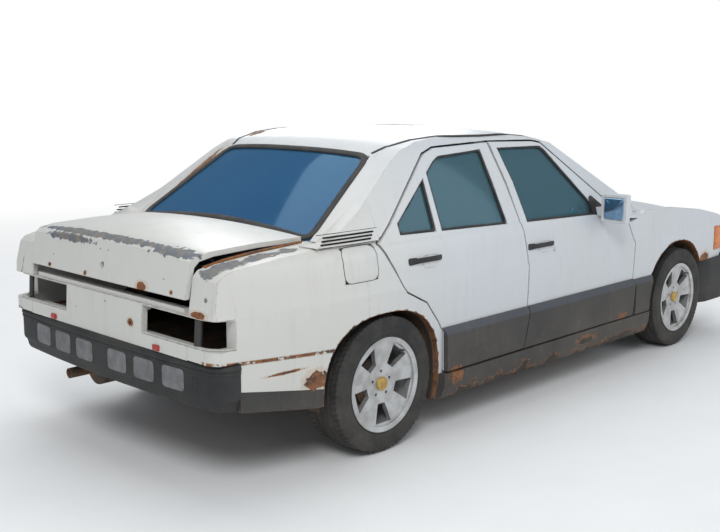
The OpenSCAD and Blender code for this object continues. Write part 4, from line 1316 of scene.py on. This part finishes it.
    def handle(self, side: Side, row: Row, x0: float, z0: float) -> None:
        """One door handle: cup, grip and base, with a lock on the front doors.

        Args:
            side, row: the door that it is on.
            x0, z0: the grip's rear end.
        """
        lift = on_body(side)
        body = f"{row.value}_{side.word}_door"
        cup = softened(rectangle(x0 + 0.095, z0 - 0.042, x0 + 0.205, z0 + 0.02), 0.03)
        rings = ((1, -0.002), (1, 0.0012), (0.93, 0.0020), (0.86, 0.0008), (0.5, 0.0042), (0.2, 0.0058))
        bowl = pillow(Shape(), cup, rings, lift)
        self.place(bowl.mesh(f"handle_cup_{row.value}_{side.word}"), body, None)
        bar = np.array([[0.012, -0.002], [0.05, 0.0], [0.12, 0.001], [0.19, 0.0], [0.222, -0.002]])
        path = lift(bar + (x0, z0), np.array([-0.002, 0.008, 0.013, 0.010, -0.001]))
        grip = sweep(Shape(), path, oval(0.024, 0.012, 3.0, 14), (0, side.value, 0))
        self.place(grip.mesh(f"handle_{row.value}_{side.word}", 50), body, Palette.CHARCOAL.value)
        base = softened([(x0, z0 - 0.016), (x0, z0 + 0.016), (x0 + 0.06, z0 + 0.014),
                         (x0 + 0.06, z0 - 0.014)], 0.01)
        plate = pillow(Shape(), base, ((1, -0.002), (1, 0.003), (0.9, 0.0055), (0.6, 0.006)), lift)
        self.place(plate.mesh(f"handle_base_{row.value}_{side.word}"), body, Palette.CHARCOAL.value)
        if row is Row.FRONT:
            rings = ((1, -0.001), (1, 0.002), (0.85, 0.003), (0.7, 0.0022), (0.3, 0.0022))
            lock = pillow(Shape(), oval(0.024, 0.024, 2, 20) + (x0 + 0.232, z0 - 0.035), rings, lift)
            self.place(lock.mesh(f"lock_{side.word}"), body, Palette.ALLOY.value)

    def vents(self, side: Side) -> None:
        """Three stacked vent slots between two seams at the foot of the rear pillar; each slot is a
        near-black plate painted as the shade inside it.
        """
        lift = on_pillar(side)
        rings = ((1, 0.0), (1, 0.0022), (0.992, 0.0026), (0.985, 0.0012), (0.5, 0.0012))
        for k in range(3):
            z0, x0, x1 = 0.9535 + 0.0135 * k, -1.628 + 0.010 * k, -1.335 + 0.012 * k
            slot = softened(rectangle(x0, z0, x1, z0 + 0.0068), 0.003, 3, 0.012)
            # painted shade: each slot is a near-black plate, not an opening
            dark = pillow(Shape(), slot, rings, lift)
            self.place(dark.mesh(f"vent_{side.word}_{k}"), "shell", Palette.HOLE.value)
        for label, z0, x0, x1 in (("low", 0.944, -1.638, -1.302), ("high", 0.9965, -1.638, -1.285)):
            line = np.linspace((x0, z0), (x1, z0), 24)
            thin = sweep(Shape(), lift(line, np.zeros(24)), oval(0.0030, 0.0018, 2, 8), (0, side.value, 0.3))
            self.place(thin.mesh(f"seam_{label}_{side.word}", 50), "shell", Palette.SEAL.value)

    def pillar_foot(self, side: Side) -> None:
        """Fills the corner between the leaning side and the rear window's flange."""
        s, inner_y, foot_z, count = side.value, 0.655, 0.9445, 16
        station = np.linspace(-1.655, -1.29, count)
        crest = np.interp(station, (-1.655, -1.60, -1.50, -1.40, -1.29), (0.947, 0.968, 1.006, 1.056, 1.117))
        inner = BODY.roof_z(station, np.full(count, inner_y))
        foot = np.full(count, foot_z)
        outer = ((foot, -0.006), (foot, 0.0004), (0.5 * (foot + crest), 0.0004), (crest - 0.006, 0.0004),
                 (crest, -0.006))
        rows = [np.column_stack([station, s * (BODY.window_y(z) - BODY.bow(station) + d), z]) for z,
                d in outer]
        rows += [np.column_stack([station, np.full(count, s * inner_y), inner + d]) for d in (0.0006, -0.02)]
        across = len(rows)
        ends = [list(range(across))], [list(range((count - 1) * across, count * across))]
        made = Shape().add(np.stack(rows, 1), grid(count, across, False, True), *ends)
        self.place(made.mesh(f"pillar_foot_{side.word}", 50), "shell", None)

    def side_indicator(self, side: Side) -> None:
        """Orange lamp at the front corner."""
        lamp = softened([(1.872, 0.548), (1.860, 0.708), (1.992, 0.700), (1.992, 0.548)], 0.012, 5, 0.02)
        rings = ((1, -0.004), (1, 0.002), (0.96, 0.005), (0.9, 0.0062), (0.5, 0.0068))
        lens = pillow(Shape(), lamp, rings, on_body(side))
        self.place(lens.mesh(f"side_indicator_{side.word}"), "shell", Palette.ORANGE.value)

    def mirror(self, side: Side) -> None:
        """Glass of the door mirror and the dark triangle that its arm stands on."""
        body = f"front_{side.word}_door"
        panel = softened(rectangle(0.834, 0.889, 0.946, 1.001), 0.014, spacing=0.05)
        glass = pillow(Shape(), panel, ((1, 0), (1, 0.004), (0.97, 0.0055), (0.5, 0.0075)),
                       lambda p, h: np.stack([0.4298 - h, side.value * p[:, 0], p[:, 1]], axis=1))
        self.place(glass.mesh(f"mirror_glass_{side.word}"), body, Palette.MIRROR.value)
        sail = softened([(0.405, 0.884), (0.405, 1.0), (0.43, 1.01), (0.615, 0.882)], 0.012)
        base = pillow(Shape(), sail, ((1, -0.012), (1, 0.004), (0.95, 0.0065), (0.5, 0.008)),
                      on_pillar(side))
        self.place(base.mesh(f"mirror_base_{side.word}"), body, Palette.SEAL.value)

    def rear_end(self) -> None:
        """Rear bumper with its pale panels, reflectors, lamp aperture rims and the boot's gutters."""
        self.rear_bumper()
        self.bumper_panels()
        for side in Side:
            self.rear_lamp_hole(side)

    def rear_bumper(self) -> None:
        """The bumper: its section swept round the rear of the car."""
        bumper = BUMPER
        x0, corner, straight = bumper.rear_x, bumper.corner, bumper.straight_half
        side_x = np.linspace(bumper.front_x, x0 + bumper.bow_depth + corner, 4)
        turn = np.linspace(0, math.pi / 2, 12)[1:]
        y = np.linspace(straight, 0, 16)[1:]
        end = np.stack([side_x, np.full(4, straight + corner)], 1)
        bend = np.stack([x0 + bumper.bow_depth + corner - corner * np.sin(turn),
                         straight + corner * np.cos(turn)], 1)
        bow = np.stack([x0 + y**2 / (2 * BODY.rear_bow) - 0.0023 * (y / straight) ** 2, y], 1)
        half = np.concatenate([end, bend, bow])
        plan = np.concatenate([half, half[-2::-1] * (1, -1)])
        along = np.gradient(plan, axis=0)
        outward = np.stack([-along[:, 1], along[:, 0]], 1)
        outward /= np.linalg.norm(outward, axis=1, keepdims=True)
        outward *= -np.sign(outward[len(outward) // 2, 0])
        profile = np.array(bumper.section)
        ring = np.concatenate([plan[:, None] - outward[:, None] * profile[None, :, :1],
                               np.broadcast_to(profile[None, :, 1:], (len(plan), len(profile), 1))], axis=2)
        m, n = len(profile), len(plan)
        made = Shape().add(ring, grid(n, m, False, True), [list(range(m))],
                           [list(range((n - 1) * m, n * m))])
        self.place(made.mesh("bumper_rear", 40), "shell", Palette.CHARCOAL.value, ["rear_bumper"])

    def bumper_panels(self) -> None:
        """Six pale panels and two louvres on the bumper's face; the louvres are near-black plates painted as
        the shade inside them.
        """

        def on_face(p: Array, h: Array) -> Array:
            """Points (y, z) on the bumper's face, h proud of it."""
            return np.stack([BUMPER.face_x + p[:, 0] ** 2 / (2 * BODY.rear_bow) - h, p[:, 0], p[:, 1]],
                            axis=1)

        rings = ((1, -0.003), (1, 0.0015), (0.965, 0.0036), (0.90, 0.0042), (0.5, 0.0046))
        for k, y in enumerate((-0.5, -0.314, -0.127, 0.127, 0.314, 0.5)):
            box = softened(rectangle(y - 0.066, 0.420, y + 0.066, 0.510), 0.02)
            pad = pillow(Shape(), box, rings, on_face)
            self.place(pad.mesh(f"bumper_panel_{k}"), "shell", Palette.PANEL.value)
        # painted shade: the louvres are near-black plates standing in for the shade inside their openings
        rings = ((1, -0.003), (1, 0.0015), (0.88, 0.0022), (0.8, 0.0006), (0.4, 0.0006))
        for k, y in enumerate((-0.676, -0.632)):
            box = softened(rectangle(y - 0.015, 0.437, y + 0.015, 0.492), 0.004, spacing=0.02)
            pad = pillow(Shape(), box, rings, on_face)
            self.place(pad.mesh(f"bumper_louvre_{k}"), "shell", Palette.HOLE.value)

    def rear_lamp_hole(self, side: Side) -> None:
        """Reflector, the rim and post of the empty lamp aperture, and the gutter beside the boot."""
        s = side.value
        box = softened(rectangle(s * 0.396 - 0.022, 0.556, s * 0.396 + 0.022, 0.580), 0.006, spacing=0.02)
        lens = pillow(Shape(), box, ((1, -0.004), (1, 0.004), (0.9, 0.0065), (0.5, 0.0075)),
                      lambda p, h: np.stack([-2.1878 - h, p[:, 0], p[:, 1]], axis=1))
        self.place(lens.mesh(f"reflector_{side.word}"), "shell", Palette.RED.value)
        # the rim lies inside the hole and follows it round the corner of the car
        bend = np.linspace(0, math.pi / 2, 9)
        rear_x, corner_y, corner = -2.178, 0.672, 0.098
        rim_x = np.concatenate([[rear_x] * 3, rear_x + corner * (1 - np.cos(bend)), [-2.086]])
        rim_y = np.concatenate([[0.296, 0.45, 0.60], corner_y + corner * np.sin(bend), [0.774]])
        for label, z, inset, up in (("low", 0.6125, 0.006, -1), ("high", 0.7245, 0.013, 1)):
            path = np.column_stack([rim_x + inset, s * (rim_y - 0.006), np.full(len(rim_x), z)])
            strip = sweep(Shape(), path, oval(0.020, 0.006, 4.0, 12), (0, 0, up))
            self.place(strip.mesh(f"lamp_rim_{label}_{side.word}", 50), "shell", None)
        upright = np.array([[-2.164, s * 0.640, 0.609], [-2.160, s * 0.640, 0.668],
                            [-2.156, s * 0.640, 0.727]])
        post = sweep(Shape(), upright, oval(0.030, 0.022, 4.0, 12), (-1, s * 0.4, 0))
        self.place(post.mesh(f"lamp_post_{side.word}", 50), "shell", Palette.DARK.value)
        gutter_x = np.array([-2.10, -2.0, -1.85, -1.60])
        gutter = np.column_stack([gutter_x, np.full(4, s * 0.602), [0.905, 0.922, 0.936, 0.949]])
        trough = sweep(Shape(), gutter, oval(0.022, 0.014, 4.0, 12), (0, 0, 1))
        self.place(trough.mesh(f"boot_gutter_{side.word}", 50), "shell", Palette.CHANNEL.value)

    def front_end(self) -> None:
        """Headlamps with fluted lenses, wipers and the engine."""
        for side in Side:
            s = side.value
            shell = softened(rectangle(0.402, 0.571, 0.688, 0.719), 0.014)
            rings = ((1, -0.034), (1, -0.004), (0.975, 0.0), (0.93, -0.002), (0.925, -0.02), (0.3, -0.03))
            bezel = pillow(Shape(), shell, rings,
                           lambda p, h: np.stack([2.104 + h, s * p[:, 0], p[:, 1]], axis=1))
            stands_for = ["headlamps"] if side is Side.LEFT else []
            self.place(bezel.mesh(f"headlamp_{side.word}"), "shell", Palette.ALLOY.value, stands_for)
            self.headlamp_lens(side)
        for k, y0 in enumerate((-0.42, 0.12)):
            t = np.linspace(0, 1, 10)
            x = 0.925 - 0.10 * t
            y = y0 + 0.46 * t
            path = np.column_stack([x, y, BODY.roof_z(x, y) + 0.004])
            blade = sweep(Shape(), path, oval(0.009, 0.012, 3.0, 8), (0.45, 0, 0.9))
            arm_x = 0.938 - 0.075 * t
            arm_y = y0 + 0.26 * t
            arm = np.column_stack([arm_x, arm_y,
                                   BODY.roof_z(arm_x, arm_y) + 0.010 + 0.010 * np.sin(t * math.pi)])
            sweep(blade, arm, oval(0.013, 0.006, 3.0, 8), (0.45, 0, 0.9))
            self.place(blade.mesh(f"wiper_{k}", 50), "shell", Palette.DARK.value)
        self.engine()

    def headlamp_lens(self, side: Side) -> None:
        """Fluted glass with a raised middle, closed at the back by a flat face."""
        across, high = 110, 12
        (y0, y1), (z0, z1) = (0.412, 0.678), (0.581, 0.709)
        front_x, back_x, flute = 2.1005, 2.094, 0.012
        y, z = np.meshgrid(np.linspace(y0, y1, across), np.linspace(z0, z1, high), indexing="ij")
        edge = np.minimum(np.minimum(y - y0, y1 - y), np.minimum(z - z0, z1 - z))
        waves = 0.0011 * np.cos(y * 2 * math.pi / flute) * np.clip(edge / 0.01, 0, 1)
        x = front_x + 0.004 * np.clip(edge / 0.02, 0, 1) ** 0.5 + waves
        face = np.stack([x, side.value * y, z], axis=-1).reshape(-1, 3)
        back = face * (0, 1, 1) + (back_x, 0, 0)
        index = np.arange(across * high).reshape(across, high)
        border = np.concatenate([index[0], index[1:, -1], index[-1, -2::-1], index[-2:0:-1, 0]])
        ahead = np.roll(border, -1)
        rim = np.stack([border, ahead, ahead + len(face), border + len(face)], 1)
        quads = grid(across, high)
        lens = Shape().add(np.concatenate([face, back]), quads, quads + len(face), rim)
        self.place(lens.mesh(f"headlamp_lens_{side.word}", 50), "shell", Palette.LENS.value)

    def engine(self) -> None:
        """A small engine within the CAD block's box: ribbed block, covers, battery, filter and pulleys."""

        def ribbed(p: Array) -> Array:
            """Vertical ribs of 4 mm on the block's sides."""
            wave = 1 - 0.008 * (1 + np.sign(np.sin(p[:, 0] * 90)))
            return p * np.stack([np.ones(len(p)), wave, np.ones(len(p))], 1) + (1.42, 0.0, 0.42)

        block = cushion(Shape(), (0.26, 0.19, 0.18), 14.0, 48, ribbed)
        made = block.mesh("engine_crankcase")
        weld(made)
        self.place(made, "shell", Palette.IRON.value, ["engine_block"])
        for name, half, centre, power, paint in (
                ("engine_head", (0.24, 0.14, 0.045), (1.42, 0.0, 0.635), 12.0, Palette.ALLOY),
                ("rocker_cover", (0.22, 0.10, 0.045), (1.42, 0.0, 0.713), 5.0, Palette.CHARCOAL),
                ("gearbox", (0.13, 0.16, 0.13), (1.28, 0.0, 0.375), 4.0, Palette.ALLOY),
                ("manifold", (0.17, 0.06, 0.05), (1.42, -0.198, 0.60), 4.0, Palette.STEEL),
                ("battery", (0.12, 0.055, 0.09), (1.27, 0.20, 0.665), 16.0, Palette.DARK)):
            piece = cushion(Shape(), half, power, 20, lambda p, c=centre: p + np.array(c)).mesh(name)
            weld(piece)
            self.place(piece, "shell", paint.value)
        drum = np.array([[-0.04, 0.0], [-0.04, 0.09], [-0.035, 0.098], [0.0, 0.10], [0.03, 0.098],
                         [0.036, 0.09], [0.036, 0.02], [0.044, 0.015], [0.044, 0.0]])
        turn = Matrix.Rotation(math.radians(90), 4, "X")
        filt = revolve(Shape(), drum, Vector((0, 0, 0)), 40, loop=False).mesh("air_filter", 30)
        filt.data.transform(Matrix.Translation((1.56, 0.155, 0.70)) @ turn)
        self.place(filt, "shell", Palette.DARK.value)
        wheel = np.array([[-0.012, 0.0], [-0.012, 0.068], [-0.008, 0.07], [0.0, 0.06], [0.008, 0.07],
                          [0.012, 0.068], [0.012, 0.0]])
        spin = Matrix.Rotation(math.radians(90), 4, "Z")
        for k, (y, z, r) in enumerate(((0.0, 0.33, 1.0), (0.12, 0.50, 0.7), (-0.10, 0.56, 0.6))):
            pulley = revolve(Shape(), wheel * (1, r), Vector((0, 0, 0)), 32, loop=False)
            pulley = pulley.mesh(f"pulley_{k}", 30)
            pulley.data.transform(Matrix.Translation((1.689, y, z)) @ spin)
            self.place(pulley, "shell", Palette.STEEL.value)

    def seats(self) -> None:
        """Front seats and the rear bench in worn cloth, with seams and piping."""

        def pad(name: str, half: tuple, warp: Callable[[Array], Array], fill: float,
                stands_for: Sequence[str] = (),
                flutes: int = 0, power: float = 3.4) -> None:
            """One cushion: a crowned form with sewn grooves across it and piping round its edge."""

            def sewn(p: Array) -> Array:
                """Sinks a groove at each seam and a slight slump in the middle."""
                q = p.copy()
                top = np.clip(p[:, 2] / half[2], 0, 1) ** 2
                mid = (1 - (p[:, 0] / half[0]) ** 2) * (1 - (p[:, 1] / half[1]) ** 2)
                q[:, 2] -= 0.012 * np.clip(mid, 0, 1) * top
                seams = np.abs(np.abs(p[:, 1]) - half[1] * 0.62)
                q[:, 2] -= 0.010 * np.exp(-(seams / 0.008) ** 2) * top
                for k in range(flutes):
                    at = half[0] * (-0.62 + 1.24 * (k + 0.5) / flutes)
                    near = np.abs(p[:, 1]) < half[1] * 0.62
                    q[:, 2] -= 0.008 * np.exp(-((p[:, 0] - at) / 0.007) ** 2) * top * near
                return warp(q)

            body = cushion(Shape(), half, power, 56, sewn)
            made = body.mesh(name, 180)
            weld(made)
            made.data.shade_smooth()
            self.place(made, "shell", Palette.CLOTH.value, stands_for)
            t = np.linspace(0, 2 * math.pi, 96, endpoint=False)
            c, s = np.cos(t), np.sin(t)
            edge = np.stack([half[0] * np.sign(c) * np.abs(c) ** (2 / power),
                             half[1] * np.sign(s) * np.abs(s) ** (2 / power)], 1)
            lift = 0.55 * half[2]
            shrink = (1 - 0.55**power) ** (1 / power) * 1.004
            line = warp(np.column_stack([edge * shrink, np.full(len(t), lift)]))
            top, foot = warp(np.array([[0, 0, 1.0], [0, 0, 0.0]]))
            loop = sweep(Shape(), line, oval(0.008, 0.008, 2, 6), top - foot, True)
            self.place(loop.mesh(name + "_piping", 60), "shell", Palette.PIPING.value)

        def moved(centre: tuple, lean: float) -> Callable[[Array], Array]:
            """Turns points about Y by lean degrees and moves them to centre."""
            a = math.radians(lean)
            spin = np.array([[math.cos(a), 0, math.sin(a)], [0, 1, 0], [-math.sin(a), 0, math.cos(a)]])
            return lambda p: p @ spin.T + np.array(centre)

        for side in Side:
            y = side.value * 0.37
            first = ["front_seats"] if side is Side.LEFT else []
            pad(f"seat_cushion_{side.word}", (0.275, 0.25, 0.085), moved((-0.065, y, 0.375), -5), 0.7, first,
                4)
            pad(f"seat_back_{side.word}", (0.325, 0.235, 0.065), moved((-0.405, y, 0.685), 76), 0.7, (), 5)
            pad(f"headrest_{side.word}", (0.105, 0.125, 0.045), moved((-0.530, y, 1.09), 80), 0.8)
            base = cushion(Shape(), (0.24, 0.21, 0.045), 12, 16, moved((-0.08, y, 0.27), 0))
            made = base.mesh(f"seat_base_{side.word}")
            weld(made)
            self.place(made, "shell", Palette.DARK.value)
            for k, dy in enumerate((-0.205, 0.205)):
                path = np.array([[-0.3, y + dy, 0.2], [-0.1, y + dy, 0.2], [0.15, y + dy, 0.2]])
                rail = sweep(Shape(), path, oval(0.03, 0.02, 6, 12), (0, 0, 1))
                self.place(rail.mesh(f"seat_rail_{side.word}_{k}", 40), "shell", Palette.STEEL.value)
                path = np.array([[-0.512, y + 0.3 * dy, 0.96], [-0.522, y + 0.3 * dy, 1.02]])
                stalk = sweep(Shape(), path, oval(0.012, 0.012, 2, 10), (1, 0, 0))
                self.place(stalk.mesh(f"headrest_stalk_{side.word}_{k}", 40), "shell", Palette.ALLOY.value)
        pad("rear_cushion", (0.215, 0.56, 0.105), moved((-0.695, 0, 0.335), -4), 0.7, ["rear_seat"], 3, 5.0)
        pad("rear_back", (0.27, 0.57, 0.07), moved((-0.985, 0, 0.665), 69), 0.7, (), 3, 5.0)

    def cabin(self) -> None:
        """Instrument hood, vents, gear lever and its knob."""
        hood = cushion(Shape(), (0.11, 0.19, 0.045), 3.2, 24, lambda p: p + (0.725, 0.37, 0.865))
        hood = hood.mesh("instrument_hood")
        weld(hood)
        self.place(hood, "shell", Palette.DARK.value)
        for k, y in enumerate((-0.6, -0.08, 0.08, 0.6)):
            box = softened(rectangle(y - 0.05, 0.76, y + 0.05, 0.815), 0.01)
            vent = pillow(Shape(), box,
                          ((1, -0.004), (1, 0.004), (0.92, 0.006), (0.86, 0.001), (0.4, 0.001)),
                          lambda p,
                          h: np.stack([0.629 + 0.125 * (0.76 - p[:, 1]) - h, p[:, 0], p[:, 1]], axis=1))
            self.place(vent.mesh(f"dash_vent_{k}"), "shell", Palette.CHARCOAL.value)
        lever = np.array([[0.30, 0, 0.41], [0.29, 0, 0.48], [0.27, 0, 0.55]])
        stick = sweep(Shape(), lever, oval(0.016, 0.016, 2, 12), (1, 0, 0))
        self.place(stick.mesh("gear_lever", 50), "shell", Palette.ALLOY.value)
        knob = cushion(Shape(), (0.022, 0.02, 0.028), 2.4, 12, lambda p: p + (0.268, 0, 0.565))
        knob = knob.mesh("gear_knob")
        weld(knob)
        self.place(knob, "shell", Palette.DARK.value)

    def build(self) -> None:
        """Builds everything, one group of pieces after another."""
        for step in (self.sheet_metal, self.glazing, self.running_gear, self.tyres, self.wheel_liners,
                     self.seals, self.fittings, self.rear_end, self.front_end, self.seats, self.cabin):
            step()
        LOG.info("%d pieces", self.pieces)


# ----------------------------------------------------------------------------- studio

@dataclass(frozen=True)
class Lamp:
    """A round area light: where it stands, how wide it is, its power in watts and what it points at."""

    name: str
    at: tuple
    size: float
    power: float
    aim: tuple


@dataclass(frozen=True)
class View:
    """The camera: its place in metres, angles in degrees, and lens and sensor width in millimetres."""

    at: tuple = (-4.442, -3.707, 1.599)
    turn: float = 44.11
    rise: float = -10.09
    roll: float = 0.24
    lens: float = 50.88
    sensor: float = 36.0
    far: float = 200.0


LAMPS = (Lamp("key", (-5.5, -4.5, 5.5), 3.0, 285.0, (-0.6, 0, 0.6)),
         Lamp("fill", (3.5, -6.0, 3.0), 5.0, 110.0, (0.3, 0, 0.6)),
         Lamp("top", (0.0, 1.5, 6.5), 6.0, 190.0, (0, 0, 0.8)),
         Lamp("rim", (4.5, 5.5, 3.5), 4.0, 200.0, (0, 0, 0.7)))


class Studio:
    """Pale floor, white background, soft lights and the camera."""

    def build(self) -> None:
        """Sets the stage up."""
        self._floor()
        self._world()
        self._lights()
        self._camera()
        bpy.context.scene.view_settings.view_transform = "Standard"

    @staticmethod
    def _floor() -> None:
        """A wide pale floor with a faint grain."""
        t = np.linspace(-60, 60, 25)
        x, y = np.meshgrid(t, t, indexing="ij")
        floor = Shape().add(np.stack([x, y, np.zeros_like(x)], -1), grid(25, 25)).mesh("floor")
        material = bpy.data.materials.new("pale_floor")
        material.use_nodes = True
        net = Net(material.node_tree)
        shader = material.node_tree.nodes["Principled BSDF"]
        place = net.node("TexCoord").outputs["Object"]
        tone = net.mix(net.noise(place, 3.0, 5.0, 0.6), (0.74, 0.74, 0.735), (0.80, 0.80, 0.795))
        net.put(tone, shader.inputs["Base Color"])
        net.put(0.85, shader.inputs["Roughness"])
        away = net.vector("LENGTH", net.vector("MULTIPLY", place, (1.0, 1.0, 0.0)))
        glow = net.node("Emission")
        net.put((1.0, 1.0, 1.0), glow.inputs[0])
        fade = net.blend(net.ramp(away, 3.2, 9.0), shader.outputs[0], glow.outputs[0])
        net.put(fade, material.node_tree.nodes["Material Output"].inputs[0])
        floor.data.materials.append(material)

    @staticmethod
    def _world() -> None:
        """White to the camera, a soft grey sky to everything else."""
        world = bpy.data.worlds.new("studio")
        bpy.context.scene.world = world
        world.use_nodes = True
        tree = world.node_tree
        tree.nodes.clear()
        net = Net(tree)
        ray = net.node("LightPath")
        white = net.node("Background")
        net.put((1.0, 1.0, 1.0), white.inputs[0])
        net.put(1.0, white.inputs[1])
        soft = net.node("Background")
        net.put((0.86, 0.93, 1.0), soft.inputs[0])
        net.put(0.5, soft.inputs[1])
        out = net.node("OutputWorld")
        net.put(net.blend(ray.outputs["Is Camera Ray"], soft.outputs[0], white.outputs[0]), out.inputs[0])

    @staticmethod
    def _lights() -> None:
        """A large key from behind the camera's left, a fill, a top light and a rim light."""
        for lamp in LAMPS:
            data = bpy.data.lights.new(lamp.name, "AREA")
            data.shape = "DISK"
            data.size = lamp.size
            data.energy = lamp.power
            made = bpy.data.objects.new(lamp.name, data)
            made.location = lamp.at
            made.rotation_euler = (Vector(lamp.aim) - Vector(lamp.at)).to_track_quat("-Z", "Y").to_euler()
            bpy.context.scene.collection.objects.link(made)

    @staticmethod
    def _camera() -> None:
        """The camera: right rear three-quarter view from about head height."""
        view = View()
        data = bpy.data.cameras.new("camera")
        data.sensor_width = view.sensor
        data.lens = view.lens
        data.clip_end = view.far
        camera = bpy.data.objects.new("camera", data)
        bpy.context.scene.collection.objects.link(camera)
        turn, rise, roll = (math.radians(a) for a in (view.turn, view.rise, view.roll))
        look = Vector((math.cos(rise) * math.cos(turn), math.cos(rise) * math.sin(turn), math.sin(rise)))
        right = look.cross(Vector((0, 0, 1))).normalized()
        up = right.cross(look)
        across = math.cos(roll) * right + math.sin(roll) * up
        above = -math.sin(roll) * right + math.cos(roll) * up
        matrix = Matrix((across, above, -look)).transposed().to_4x4()
        matrix.translation = Vector(view.at)
        camera.matrix_world = matrix
        bpy.context.scene.camera = camera


def main() -> None:
    """Builds the car and its studio."""
    builder = CarBuilder()
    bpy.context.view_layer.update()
    builder.build()
    Studio().build()
    bpy.context.view_layer.update()


if __name__ == "__main__":
    main()
